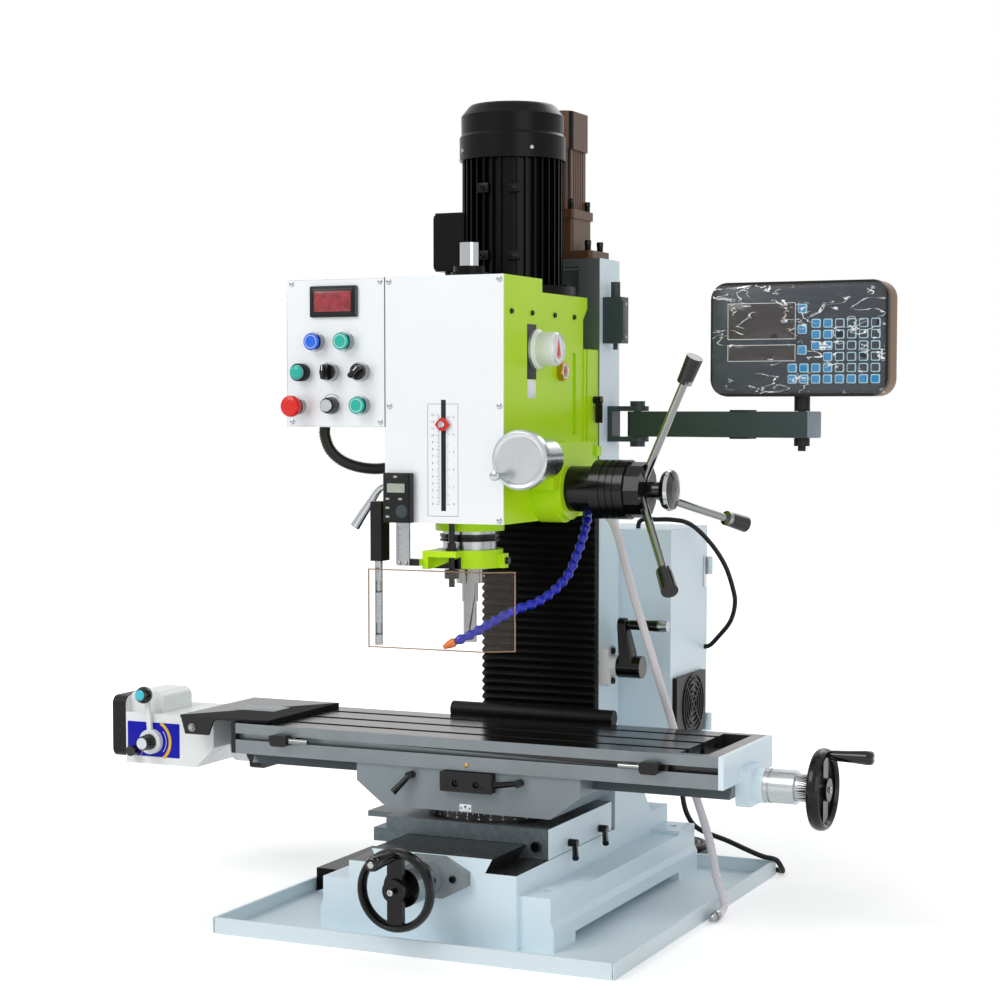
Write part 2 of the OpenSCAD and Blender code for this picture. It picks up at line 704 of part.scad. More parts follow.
// Upper saddle that carries the table
apron_low = swivel_z + slide_gap;
block_l = 86;
block_h = 30;
block_t = 14;
block_x = 6;
module apron() color("slategray") {
    difference() {
        union() {
            difference() {
                pull_y(apron_front, apron_back) polygon([[-apron_w / 2, apron_z], [-apron_w / 2, apron_low + apron_chamfer_z],
                    [-apron_foot_half, apron_low], [apron_foot_half, apron_low],
                    [apron_w / 2, apron_low + apron_chamfer_z], [apron_w / 2, apron_z]]);
                pull_x(-apron_w / 2 - over, apron_w / 2 + over) move([table_y, 0]) dovetail(slide_gap);
            }
            slab(-nut_half, nut_half, table_y - x_screw_w / 2 + free_gap, table_y + x_screw_w / 2 - free_gap,
                apron_z - dovetail_h - over, x_screw_z + x_screw_w / 2 - free_gap);
        }
        move([-apron_w, table_y, x_screw_z]) xcyl(screw_d + 2 * bearing_gap, 2 * apron_w);
        move([0, table_y, apron_low - over]) zcyl(spigot_d + 2 * bearing_gap, spigot_h + 2 * over);
    }
    // Stop block and index plate on the front face
    move([block_x, apron_front - block_t, apron_z - block_h / 2 - free_gap]) rotate([-90, 0, 0]) difference() {
        linear_extrude(block_t) rrect(block_l, block_h, 2);
        for (s = [-1, 1]) move([s * block_l / 5, block_h / 16, -over]) cylinder(d = block_h / 2.6, h = block_t / 2 + over);
    }
}
nut_half = 30;
module dovetail(g) {
    polygon([[-dovetail_top - g, apron_z + over], [-dovetail_top - g, apron_z], [-dovetail_low - g, apron_z - dovetail_h - g],
        [dovetail_low + g, apron_z - dovetail_h - g], [dovetail_top + g, apron_z], [dovetail_top + g, apron_z + over]]);
}
lock_x = 90;
table_lock_z = 223;
module table_lock_left() color("black")
    move([-lock_x, apron_front - slide_gap, table_lock_z]) rotate([90, 0, 0]) rotate(-130) lock_lever(0);
module table_lock_right() color("black")
    move([lock_x, apron_front - slide_gap, table_lock_z]) rotate([90, 0, 0]) rotate(-175) lock_lever(0);

// Work table
table_low = apron_z + slide_gap;
module t_slot(y) {
    move([0, y, 0]) {
        slab(-well_x, well_x + over, -slot_w / 2, slot_w / 2, table_z - t_slot_d, table_z + over);
        slab(-well_x, well_x + over, -t_head_w / 2, t_head_w / 2, table_z - t_slot_d, table_z - t_slot_d + t_head_h);
    }
}
well_d = 16;
module table() color("gray") {
    difference() {
        union() {
            slab(-table_l / 2, table_l / 2, table_front, table_back, table_low, table_z);
            pull_x(-table_l / 2, table_l / 2) move([table_y, 0]) polygon([[-dovetail_top, table_low + over],
                [-dovetail_top, apron_z], [-dovetail_low, apron_z - dovetail_h], [dovetail_low, apron_z - dovetail_h],
                [dovetail_top, apron_z], [dovetail_top, table_low + over]]);
        }
        for (i = [-1:1]) t_slot(table_y + i * slot_pitch);
        for (s = [0, 1]) mirror([s, 0, 0])
            slab(well_x, well_x + well_l, table_front + well_d, table_back - well_d, table_z - t_slot_d, table_z + over);
        slab(-table_l / 2 - over, table_l / 2 + over, table_y - x_screw_w / 2, table_y + x_screw_w / 2,
            apron_z - dovetail_h - over, x_screw_z + x_screw_w / 2);
        slab(-table_l / 2 - over, table_l / 2 + over, table_front - over, table_front + side_slot_d / 2,
            side_slot_z - side_slot_h / 2, side_slot_z + side_slot_h / 2);
        slab(-table_l / 2 - over, table_l / 2 + over, table_front + side_slot_d / 2 - over, table_front + side_slot_d,
            side_slot_z - side_slot_h * 0.8, side_slot_z + side_slot_h * 0.8);
    }
}

// Castings on the table ends, with the black cover of the left end
end_t = 8;
end_boss_w = 76;
end_boss_h = 58;
end_boss_l = 22;
end_tube_d = 52;
end_tube_l = 14;
module end_housings() color("white") {
    for (s = [0, 1]) mirror([s, 0, 0]) difference() {
        union() {
            slab(table_l / 2, table_l / 2 + end_t, table_front, table_back, table_low, table_z);
            move([table_l / 2, table_y, x_screw_z]) rotate([90, 0, 90]) linear_extrude(end_boss_l) rrect(end_boss_w, end_boss_h, end_t);
            move([table_l / 2 + end_boss_l - over, table_y, x_screw_z]) xcyl(end_tube_d, end_tube_l + over);
        }
        move([table_l / 2 - over, table_y, x_screw_z]) xcyl(screw_d + 2 * bearing_gap, end_boss_l + end_tube_l + 2 * over);
    }
    color("dimgray") left_cover();
}
cover_t = 4;
cover_out = 100;
cover_in = 63;
cover_left = -table_l / 2 - cover_out;
cover_right = -table_l / 2 + cover_in;
cover_front = -24;
cover_h = 26;
module left_cover() {
    slab(cover_left, cover_right, cover_front, table_back - end_t, table_z + cover_t, table_z + 2 * cover_t);
    slab(cover_right - 6 * cover_t, cover_right, table_front + 2 * cover_t, table_back - end_t, table_z, table_z + cover_t);
    pull_y(cover_front, cover_front + cover_t) polygon([[cover_left, table_z + 2 * cover_t],
        [cover_left + cover_h / 3, table_z + cover_t - cover_h], [cover_left + cover_h * 2, table_z + cover_t - cover_h],
        [cover_left + cover_h * 2.4, table_z + cover_t], [cover_left + cover_h * 2.4, table_z + 2 * cover_t]]);
}

// Table handwheel on the right, dial and clutch, with the long screw
clutch_l = 22;
x_dial_d = 50;
module x_handwheel() color("black") {
    x1 = table_l / 2 + end_boss_l + end_tube_l + slide_gap;
    x2 = x_wheel_x - wheel_hub_d / 5;
    move([x_wheel_x, table_y, x_screw_z]) rotate([90, 0, 90]) {
        wheel_body();
        grip_stem();
    }
    color("silver") move([x1, table_y, x_screw_z]) xcyl(x_dial_d, x2 - clutch_l - x1 + over);
    color("silver") move([x2 - clutch_l, table_y, x_screw_z]) xcyl(x_dial_d * 0.8, clutch_l);
    color("silver") move([-x1, table_y, x_screw_z]) xcyl(screw_d, 2 * x1 + over);
    color("silver") move([-x1 - clutch_l, table_y, x_screw_z]) xcyl(x_dial_d, clutch_l);
}
module x_wheel_handle() color("black")
    move([x_wheel_x, table_y, x_screw_z]) rotate([90, 0, 90]) move([0, grip_c, 0]) grip(rim_w + slide_gap);

// Power feed on the left end
feed_gap = 66;
feed_l = 168;
feed_knob_in = 52;
feed_right = -table_l / 2 - feed_gap;
feed_left = feed_right - feed_l;
feed_front = 20;
feed_back = 168;
feed_low = 199;
feed_top = 282;
feed_bevel = 34;
feed_round = 6;
feed_knob_x = feed_left + feed_knob_in;
feed_knob_z = 237;
tall_w = 64;
tall_h = 117;
tall_r = 14;
tall_front = 34;
tall_back = 118;
back_cover_t = 26;
back_cover_w = 92;
back_cover_h = 100;
feed_arm_t = 8;
module feed_box() color("white") {
    difference() {
        union() {
            pull_y(feed_front, feed_back) polygon([[feed_left, feed_low], [feed_right - feed_bevel, feed_low],
                [feed_right, feed_low + feed_bevel], [feed_right, feed_top - feed_round], [feed_right - feed_round, feed_top],
                [feed_left, feed_top]]);
            // Tall gear housing
            move([feed_left + tall_w / 2, tall_back, feed_low + tall_h / 2]) rotate([90, 0, 0])
                linear_extrude(tall_back - tall_front) rrect(tall_w, tall_h, tall_r);
        }
        move([feed_knob_x, feed_front - over, feed_knob_z]) ycyl(pivot_d + 2 * bearing_gap, feed_bevel);
        move([rapid_x, feed_front - over, rapid_z]) ycyl(rapid_stem_d + 2 * bearing_gap, feed_bevel / 2 + over);
    }
    color("black") move([feed_left - back_cover_t, tall_front - tall_r + back_cover_w / 2, feed_low + tall_h / 2])
        rotate([90, 0, 90]) linear_extrude(back_cover_t) rrect(back_cover_w, back_cover_h, tall_r);
    // Gear nose that meets the screw end, and the bracket to the table end
    move([feed_right, table_y, x_screw_z])
        xcyl(x_dial_d, -table_l / 2 - end_boss_l - end_tube_l - 2 * slide_gap - clutch_l - feed_right);
    slab(feed_right, -table_l / 2 - end_t, feed_back - 3 * feed_arm_t, feed_back - 2 * feed_arm_t,
        feed_low + feed_bevel, feed_top - feed_round);
}
feed_ring_d = 40;
feed_ring_t = 10;
feed_lever_l = 70;
feed_lever_w = 8;
feed_ball_d = 28;
feed_lever_lean = 5;
module feed_lever() color("white")
    move([feed_knob_x, feed_front - slide_gap, feed_knob_z]) rotate([90, 0, 0]) {
        difference() {
            cylinder(d = feed_ring_d, h = feed_ring_t);
            up(feed_ring_t / 2) cylinder(d = feed_knob_d + 2 * free_gap, h = feed_ring_t);
            up(-over) cylinder(d = pivot_d + 2 * free_gap, h = feed_ring_t);
        }
        rotate(feed_lever_lean) {
            move([-feed_lever_w / 2, feed_ring_d / 2 - over, feed_lever_w / 4]) cube([feed_lever_w, feed_lever_l - feed_ring_d / 2, feed_lever_w * 0.75]);
            color("black") move([0, feed_lever_l + feed_ball_d / 4, feed_ball_d / 2 + slide_gap]) sphere(d = feed_ball_d, $fn = fine);
        }
    }
feed_knob_d = 24;
feed_knob_l = 22;
module feed_speed_knob() color("black")
    move([feed_knob_x, feed_front + feed_bevel / 2, feed_knob_z]) rotate([90, 0, 0]) {
        cylinder(d = pivot_d, h = feed_bevel / 2 + feed_ring_t);
        up(feed_bevel / 2 + feed_ring_t / 2 + 2 * slide_gap) cylinder(d = feed_knob_d, h = feed_knob_l);
    }
rapid_in = 20;
rapid_up = 22;
rapid_x = feed_left + rapid_in;
rapid_z = feed_low + rapid_up;
rapid_d = 17;
rapid_stem_d = 8;
rapid_push = 4;
rapid_head = 13;
module rapid_button() color("black")
    move([rapid_x, feed_front - rapid_push - free_gap, rapid_z]) rotate([90, 0, 0]) {
        cylinder(d = rapid_d, h = rapid_head);
        up(-rapid_push - feed_bevel / 4) cylinder(d = rapid_stem_d, h = rapid_push + feed_bevel / 4 + over);
    }

// Adjustable table stops in the front T-slot
stop_w = 50;
stop_t = 16;
module table_stop(s) {
    move([0, table_front, side_slot_z]) {
        slab(-stop_w / 2, stop_w / 2, -slide_gap - over, side_slot_d / 2, -side_slot_h / 2 + slide_gap, side_slot_h / 2 - slide_gap);
        slab(-stop_w / 2, stop_w / 2, side_slot_d / 2 + slide_gap - over, side_slot_d - slide_gap,
            -side_slot_h * 0.8 + slide_gap, side_slot_h * 0.8 - slide_gap);
        move([0, -stop_t - slide_gap, 0]) rotate([-90, 0, 0]) linear_extrude(stop_t)
            rrect(stop_w * 0.6, side_slot_h * 1.8, side_slot_h * 0.6);
        color("silver") move([s > 0 ? stop_w * 0.3 - over : -stop_w * 0.3 - stop_w * 0.7 + over, -stop_t / 2, 0]) xcyl(stop_t / 2, stop_w * 0.7);
    }
}
stop_in = 100;
stop_in_left = 86;
stop_x = table_l / 2 - stop_in;
stop_x_left = table_l / 2 - stop_in_left;
module table_stop_left() color("black") move([-stop_x_left, 0, 0]) table_stop(1);
module table_stop_right() color("black") move([stop_x, 0, 0]) table_stop(-1);

// Slide on the column
slide_front = head_back + slide_gap;
gib_d = 4;
gib_w = 7;
module head_slide() color("yellowgreen") {
    difference() {
        union() {
            slab(-slide_half, slide_half, slide_front, throat - slide_gap, slide_z, slide_top);
            up(slide_z) linear_extrude(slide_h) polygon([[-channel_half + slide_gap, throat - over],
                [channel_half - slide_gap, throat - over], [channel_half - slide_gap, throat],
                [channel_half + channel_flare - 2 * slide_gap, throat + channel_d - slide_gap],
                [-channel_half - channel_flare + 2 * slide_gap, throat + channel_d - slide_gap], [-channel_half + slide_gap, throat]]);
        }
        move([0, slide_front - over, tilt_z]) ycyl(tilt_d / 2, 3 * wall);
        // Gib groove down the right side
        slab(slide_half - gib_d, slide_half + over, slide_front + gib_w, slide_front + 2 * gib_w, slide_z - over, slide_top + over);
    }
    // Clip that holds the supply hose, and the stop dog for the limit switch
    slab(slide_half, slide_half + 2 * wall, supply_y - wall, supply_y + wall, supply_z, supply_z + 2 * wall);
    slab(slide_half, slide_half + wall, throat - 3 * wall, throat - wall, slide_z + slide_h / 3, slide_z + slide_h / 3 + wall * 1.5);
}
head_lock_y = 250;
head_lock_z = 791;
module head_lock_lever() color("black")
    move([slide_half + slide_gap, head_lock_y, head_lock_z]) rotate([0, 90, 0]) {
        cylinder(d = lever_d * 1.3, h = lever_d * 1.5);
        move([lever_l / 2, 0, lever_d * 0.9]) cube([lever_l, lever_d, lever_d], center = true);
    }

// Head casting with quill bore, gear space and feed boss
module head_casting() color("yellowgreen") {
    difference() {
        union() {
            slab(-head_w / 2, head_w / 2, -head_reach, head_back, head_z, cover_z);
            up(head_z - neck_h) zcyl(neck_d + wall, neck_h + over);
            slab(head_w / 2 - over, boss_x - free_gap, dial_bear_y, feed_y + boss_d * 0.9, feed_z, boss_block_z);
            move([head_w / 2 - over, feed_y, feed_z]) xcyl(boss_d * 1.1, boss_x - wall - head_w / 2 + over);
            move([head_w / 2 - over, coolant_y, coolant_z]) xcyl(coolant_d * 1.5, valve_l + over);
            move([boss_x - wall - over, feed_y, feed_z]) xcyl(boss_d, wall + over);
            move([0, head_back - over, tilt_z]) ycyl(tilt_d / 2 - 2 * bearing_gap, 2 * wall + over);
        }
        // Quill bore, depth rod channel, gear space
        up(head_z - neck_h - over) zcyl(quill_d + 2 * bearing_gap, head_h);
        slab(-rod_channel / 2, rod_channel / 2, -head_reach - over, rod_y + rod_d, head_z - over, cover_z + over);
        slab(strip_x - strip_w / 2 - free_gap / 2, strip_x + strip_w / 2 + free_gap / 2, -head_reach - over,
            -head_reach + strip_t + 2 * free_gap, head_z - over, strip_top + 2 * free_gap);
        slab(-head_w / 2 + wall, head_w / 2 - wall, quill_d / 2 + feed_shaft_d * 2, head_back - 2 * wall, head_z + wall, cover_z + over);
        slab(-head_w / 2 + wall, head_w / 2 - wall, rod_y + rod_d + wall, head_back - 2 * wall, boss_block_z + wall * 2, cover_z + over);
        // Feed shaft bearing
        move([-feed_shaft_d, feed_y, feed_z]) xcyl(feed_shaft_d + 2 * bearing_gap, boss_x + feed_shaft_d + over);
        move([dial_x, dial_bear_y - over, dial_z]) ycyl(worm_d + 2 * bearing_gap, boss_d);
        // Recess on the right side near the rear
        slab(head_w / 2 - recess_w / 2, head_w / 2 + over, recess_y, recess_y + recess_w, recess_low, recess_top);
        move([head_w / 2 - wall - over, selector_y, selector_z]) xcyl(pivot_d + 2 * bearing_gap, wall + 2 * over);
        move([-head_w / 2 - over, 0, quill_lock_z]) xcyl(pivot_d + 2 * bearing_gap, head_w / 2 - quill_d / 2);
    }
    // Sight glass
    color("gold") move([head_w / 2, glass_y, glass_z]) xcyl(glass_d, glass_t);
}
recess_w = 12;
recess_y = 168;
recess_low = 737;
recess_top = 863;
glass_y = 119;
glass_z = 834;
glass_d = 29;
glass_t = 8;
worm_d = 16;
dial_bear_y = feed_y - boss_d * 0.75;
coolant_y = 140;
coolant_z = 640;
valve_l = 8;
strip_x = -68.5;
strip_w = 22;
strip_t = 3.4;
strip_top = head_z + quill_stroke + 15;
selector_y = 27;
selector_z = 865;
quill_lock_z = 659;

// Gear cover on top of the head casting
module head_cover() color("yellowgreen") {
    difference() {
        pull_x(-head_w / 2, head_w / 2) polygon([[-head_reach, cover_z], [head_back, cover_z], [head_back, cover_z + cover_low / 2],
            [head_back + lip, cover_z + 1.4 * cover_low], [head_back + lip, head_top - cover_low], [cover_step_y, head_top - cover_low],
            [cover_step_y, head_top], [-head_reach, head_top]]);
        slab(-head_w / 2 + wall, head_w / 2 - wall, -head_reach + 2 * wall, head_back - wall, cover_z - over, head_top - 3 * wall);
        up(cover_z - over) zcyl(drawbar_d + 2 * free_gap, head_h);
        move([0, motor_y, cover_z - over]) zcyl(motor_d / 2, head_h);
    }
    // Boss and bright cap over the drawbar
    difference() {
        union() {
            up(head_top) zcyl(cap_base_d, cap_base_h);
            up(head_top + cap_base_h) zcyl(cap_base_d * 0.85, cap_base_h);
            up(head_top + 2 * cap_base_h) zcyl(cap_d, cap_h);
        }
        up(head_top - over) zcyl(drawbar_d + 2 * free_gap, 2 * cap_base_h + cap_h - sheet_t + over);
    }
}
drawbar_d = 22;
cap_d = 29;
cap_h = 35;
cap_base_d = 56;
cap_base_h = 9;

// Front plate with the depth slot
depth_slot_w = 8;
depth_slot_z0 = 628;
depth_slot_z1 = 790;
module front_plate() color("whitesmoke") {
    pull_y(plate_front, -head_reach) difference() {
        move([-head_w / 2, head_z]) square([head_w, head_h]);
        move([-depth_slot_w / 2, depth_slot_z0]) square([depth_slot_w, depth_slot_z1 - depth_slot_z0]);
    }
}

// Control panel box on the left of the head
panel_x1 = -head_w / 2;
panel_x0 = panel_x1 - panel_w;
panel_z1 = head_top;
panel_z0 = panel_z1 - panel_h;
panel_deep = 80;
lamp_d = 22;
collar_out_d = 28;
collar_out_h = 12;
display_w = 78;
display_h = 46;
display_t = 5;
module panel_place(u, v) move([panel_x0 + u * panel_w, plate_front, panel_z0 + v * panel_h]) rotate([90, 0, 0]) children();
// Places on the panel as shares of its width and height
up_shares = [0.31, 0.575];
down_shares = [0.61, 0.575];
lamp_shares = [0.157, 0.37];
mode_shares = [0.46, 0.37];
pump_shares = [0.77, 0.37];
stop_shares = [0.115, 0.14];
pot_shares = [0.46, 0.145];
start_shares = [0.77, 0.145];
display_shares = [0.49, 0.845];
module control_box() color("whitesmoke") {
    difference() {
        slab(panel_x0, panel_x1, plate_front, plate_front + panel_deep, panel_z0, panel_z1);
        slab(panel_x0 + sheet_t, panel_x1 - sheet_t, plate_front + sheet_t, plate_front + panel_deep - sheet_t, panel_z0 + sheet_t, panel_z1 - sheet_t);
        for (p = [up_shares, down_shares, start_shares, stop_shares, mode_shares, pump_shares, pot_shares])
            panel_place(p[0], p[1]) up(-panel_deep / 2) cylinder(d = stem_d + 2 * bearing_gap, h = panel_deep);
    }
    for (p = [up_shares, down_shares, start_shares, mode_shares, pump_shares]) panel_place(p[0], p[1]) collar(collar_out_d, collar_out_h);
    panel_place(stop_shares[0], stop_shares[1]) collar(collar_out_d - sheet_t, collar_out_h - sheet_t);
    color("seagreen") panel_place(lamp_shares[0], lamp_shares[1]) cylinder(d = lamp_d, h = 1.5 * collar_out_h);
    color("dimgray") panel_place(display_shares[0], display_shares[1]) linear_extrude(display_t) rrect(display_w, display_h, display_t / 2);
}
stem_d = 10;
button_d = 22;
button_out = 15;
button_t = 7;
stem_in = 8;
module stem(h) up(-stem_in) cylinder(d = stem_d, h = stem_in + h);
module collar(d, h) difference() {
    cylinder(d = d, h = h);
    up(-over) cylinder(d = button_d + 2 * slide_gap, h = h + 2 * over);
}
module push_button(p) panel_place(p[0], p[1]) {
    stem(button_out - button_t / 2);
    up(button_out - button_t) cylinder(d = button_d, h = button_t);
}
module up_button() color("royalblue") push_button(up_shares);
module down_button() color("lightseagreen") push_button(down_shares);
module start_button() color("lightseagreen") push_button(start_shares);
stop_neck = 16;
stop_head_d = 32;
stop_head_shares = [[0, 0], [0.7, 0], [1, 0.25], [1, 0.63], [0.81, 0.88], [0, 0.94]];
module e_stop() color("red") panel_place(stop_shares[0], stop_shares[1]) {
    stem(1.3 * stop_neck);
    up(stop_neck) rotate_extrude() polygon([for (p = stop_head_shares) [p[0] * stop_head_d / 2, p[1] * stop_neck]]);
}
module turn_selector(p, a) panel_place(p[0], p[1]) {
    stem(collar_out_h + over);
    up(collar_out_h + slide_gap) {
        cylinder(d = lamp_d, h = collar_out_h / 2);
        rotate(a) move([-stem_in / 2, -lamp_d / 2, 0]) cube([stem_in, lamp_d, 1.5 * collar_out_h]);
    }
}
module mode_selector() color("black") turn_selector(mode_shares, 0);
module pump_selector() color("black") turn_selector(pump_shares, -45);
pot_d = 25;
pot_h = 19;
module speed_pot() color("black") panel_place(pot_shares[0], pot_shares[1]) {
    stem(button_t);
    up(slide_gap) cylinder(d = pot_d, h = pot_h);
    color("silver") up(pot_h) cylinder(d = pot_d * 0.6, h = sheet_t);
}

// Spindle motor: finned body, flange, terminal box and fan cowl
fin_count = 36;
fin_h = 8;
fin_t = 2.4;
flange_d = 200;
flange_t = 14;
// Outline of the fan cowl, as shares of its radius and height
cowl_shares = [[0, 0], [1, 0], [1, 0.42], [0.965, 0.47], [0.97, 0.8], [0.83, 0.97], [0.79, 1], [0, 1]];
cowl_t = 3;
term_out = 113;
term_w = 84;
term_h = 90;
module spindle_motor() color("black") {
    body_z = head_top - cover_low + flange_t;
    move([0, motor_y, 0]) {
        up(body_z - flange_t) zcyl(flange_d * 0.98, flange_t);
        up(body_z - over) zcyl(motor_d - 2 * fin_h, cowl_z - body_z + over);
        for (i = [0:fin_count - 1]) rotate(i * 360 / fin_count) move([motor_d / 2 - 2 * fin_h, -fin_t / 2, body_z - over])
            cube([2 * fin_h, fin_t, cowl_z - body_z + 2 * over]);
        up(cowl_z) difference() {
            rotate_extrude() polygon([for (p = cowl_shares) [p[0] * cowl_d / 2, p[1] * (motor_top - cowl_z)]]);
            up(-over) zcyl(cowl_d - 4 * cowl_t, (motor_top - cowl_z) * 0.8);
            for (a = [0:30:330], r = [1:4]) rotate(a) move([r * cowl_d / 13, 0, (motor_top - cowl_z) / 2])
                cylinder(d = 2 * cowl_t, h = motor_top - cowl_z, $fn = 8);
        }
        up(cowl_z - over) zcyl(motor_d / 5, (motor_top - cowl_z) * 0.6);
    }
    // Terminal box on the left
    slab(-term_out, -motor_d / 2 + 4 * fin_h, motor_y - term_w / 2, motor_y + term_w / 2, motor_z + fin_h, motor_z + fin_h + term_h);
}

// Quill and what it carries
module quill() color("silver") {
    difference() {
        up(quill_low) zcyl(quill_d, cover_z - quill_low - quill_stroke / 2);
        up(quill_low - over) zcyl(spindle_d + 2 * bearing_gap, head_h);
    }
}
ear_front = -73;
ear_left = -43;
ear_right = 12;
ear_wall = 9;
lug_x = 60;
lug_w = 15;
module quill_collar() color("yellowgreen") {
    difference() {
        union() {
            up(collar_z) zcyl(collar_d, collar_h);
            slab(ear_left, ear_right, ear_front, 0, collar_z, collar_z + collar_h);
            slab(collar_d * 0.4, lug_x, -lug_w / 2, lug_w / 2, collar_z, collar_z + collar_h * 0.8);
        }
        up(collar_z - over) zcyl(quill_d, collar_h + 2 * over);
        slab(ear_left + ear_wall, ear_right + over, ear_front - over, ear_front + 2 * ear_wall, collar_z - over, collar_z + collar_h - ear_wall);
    }
    color("black") move([lug_x, 0, collar_z + collar_h * 0.4]) xcyl(lug_w * 0.7, lug_w / 3);
    // Depth rod with its nut and its red pointer
    color("black") move([0, rod_y, rod_low]) zcyl(rod_d, pointer_z - rod_low + rod_d);
    color("black") move([0, rod_y, collar_z + collar_h]) zcyl(2 * rod_d, rod_d / 2);
    color("black") move([0, rod_y, collar_z + collar_h]) zcyl(rod_d * 1.5, rod_d * 1.3);
    color("red") slab(-depth_slot_w / 2 + free_gap, depth_slot_w / 2 - free_gap, plate_front - 2 * sheet_t, rod_y,
        pointer_z - rod_d / 3, pointer_z + rod_d / 3);
    // Arm and strip of the depth scale
    color("black") slab(strip_x - strip_w / 2, ear_left, -head_reach + strip_t + free_gap / 2, ear_front + lug_w / 3,
        collar_z + lug_w / 3, collar_z + lug_w);
    color("silver") slab(strip_x - strip_w / 2, strip_x + strip_w / 2, -head_reach + free_gap / 2, -head_reach + strip_t + free_gap / 2,
        collar_z + lug_w / 3, strip_top);
}
rod_low = 515;
pointer_z = 754;
nose_cone_d = 41;
nose_step = 14;
socket_d = 26;
arbor_top_d = 24;
module spindle() color("silver") {
    up(quill_low - slide_gap - over) zcyl(spindle_d, cover_z - quill_stroke / 2 - quill_low + over);
    up(cover_z - quill_stroke / 2 - over) zcyl(drawbar_d, head_top + cap_base_h * 2 - cover_z + quill_stroke / 2);
    difference() {
        union() {
            up(quill_low - slide_gap - nose_step) zcyl(nose_d, nose_step);
            up(nose_low) zcyl(nose_cone_d, quill_low - slide_gap - nose_step - nose_low + over);
        }
        up(nose_low - over) zcyl(socket_d, nose_step);
    }
    difference() {
        union() {
            up(nose_low - nose_step * 2) zcyl(arbor_top_d, nose_step * 3);
            up(arbor_low) zcyl(arbor_d, nose_low - arbor_low);
        }
        up(arbor_low - over) zcyl(tool_d, tool_l + over);
    }
}
knob_d = 22;
knob_h = 13;
module depth_stop_knob() color("black")
    difference() {
        move([0, rod_y, collar_z - slide_gap - knob_h]) zcyl(knob_d, knob_h);
        move([0, rod_y, collar_z - slide_gap - knob_h - over]) zcyl(rod_d + 2 * bearing_gap, knob_h + 2 * over);
    }

// Feed hub with three spokes
hub_gap = 0.5;
ring_w = 3;
hex_hub_d = 82;
hex_hub_l = 25;
spoke_lean = 27;
spoke_d = 12;
spoke_grip_l = 42;
spoke_grip_d = 25;
spoke_turn = 13;
module feed_hub() color("black") {
    move([0, feed_y, feed_z]) {
        color("silver") move([-feed_shaft_d * 0.75, 0, 0]) xcyl(feed_shaft_d, drum_end_x + feed_shaft_d * 0.75 - over);
        difference() {
            move([boss_x + hub_gap, 0, 0]) xcyl(tube_d, tube_end_x - boss_x - hub_gap + over);
            move([boss_x, 0, 0]) xcyl(feed_shaft_d, tube_end_x - boss_x);
        }
        difference() {
            move([tube_end_x, 0, 0]) xcyl(hub_d, drum_end_x - hex_hub_l - tube_end_x);
            for (k = [0.3, 0.5, 0.7]) move([tube_end_x + k * (drum_end_x - hex_hub_l - tube_end_x), 0, 0]) ring_cut(hub_d, ring_w);
        }
        move([drum_end_x - hex_hub_l, 0, 0]) rotate([0, 90, 0]) cylinder(d = hex_hub_d, h = hex_hub_l, $fn = 12);
        for (a = [0:120:240]) rotate([a + spoke_turn, 0, 0]) move([drum_end_x - hex_hub_l / 2, 0, 0]) rotate([0, spoke_lean, 0]) {
            color("silver") cylinder(d = spoke_d, h = spoke_l);
            up(spoke_l) cylinder(d1 = spoke_grip_d * 0.9, d2 = spoke_grip_d, h = spoke_grip_l);
        }
    }
}
module ring_cut(d, w) rotate([0, 90, 0]) difference() {
    cylinder(d = d + 2 * over, h = w);
    up(-over) cylinder(d = d - w, h = w + 2 * over);
}
clutch_knob_d = 60;
clutch_knob_t = 24;
clutch_neck_l = 22;
// Outline of the mushroom knob, as shares of its radius and thickness
mushroom_shares = [[0, 0], [0.5, 0], [0.9, 0.25], [1, 0.5], [0.94, 0.8], [0.55, 0.94], [0, 1]];
module feed_clutch_knob() color("black") move([drum_end_x + hub_gap, feed_y, feed_z]) {
    xcyl(feed_shaft_d, clutch_neck_l);
    move([clutch_neck_l - over, 0, 0]) rotate([0, 90, 0]) rotate_extrude()
        polygon([for (p = mushroom_shares) [p[0] * clutch_knob_d / 2, p[1] * clutch_knob_t]]);
}
dial_t = 13;
dial_collar_d = 60;
dial_pin_d = 10;
dial_pin_l = 30;
module fine_feed_dial() color("silver") move([dial_x, dial_front, dial_z]) {
    ycyl(dial_d, dial_t);
    ycyl(dial_collar_d, dial_bear_y - slide_gap - dial_front);
    ycyl(worm_d, dial_bear_y - dial_front + boss_d * 0.6);
    move([-dial_d * 0.3, 0, -dial_d * 0.26]) rotate([90, 0, 0]) cylinder(d = dial_pin_d, h = dial_pin_l);
}
lock_stem = 42;
lock_bend = -140;
module quill_lock_lever() color("silver") move([-head_w / 2 - slide_gap, 0, quill_lock_z]) {
    move([4 * wall, 0, 0]) rotate([0, -90, 0]) cylinder(d = pivot_d, h = lock_stem + 4 * wall);
    move([-lock_stem, 0, 0]) sphere(d = pivot_d);
    move([-lock_stem, 0, 0]) rotate([0, lock_bend, 0]) cylinder(d1 = pivot_d * 0.85, d2 = pivot_d * 1.3, h = 2.2 * lock_stem);
}
selector_d = 60;
selector_h = 36;
module speed_selector() color("silver") move([head_w / 2 + slide_gap, selector_y, selector_z]) {
    xcyl(selector_d, selector_h / 4);
    xcyl(selector_d * 0.87, selector_h);
    move([-wall, 0, 0]) xcyl(pivot_d, wall + over);
}

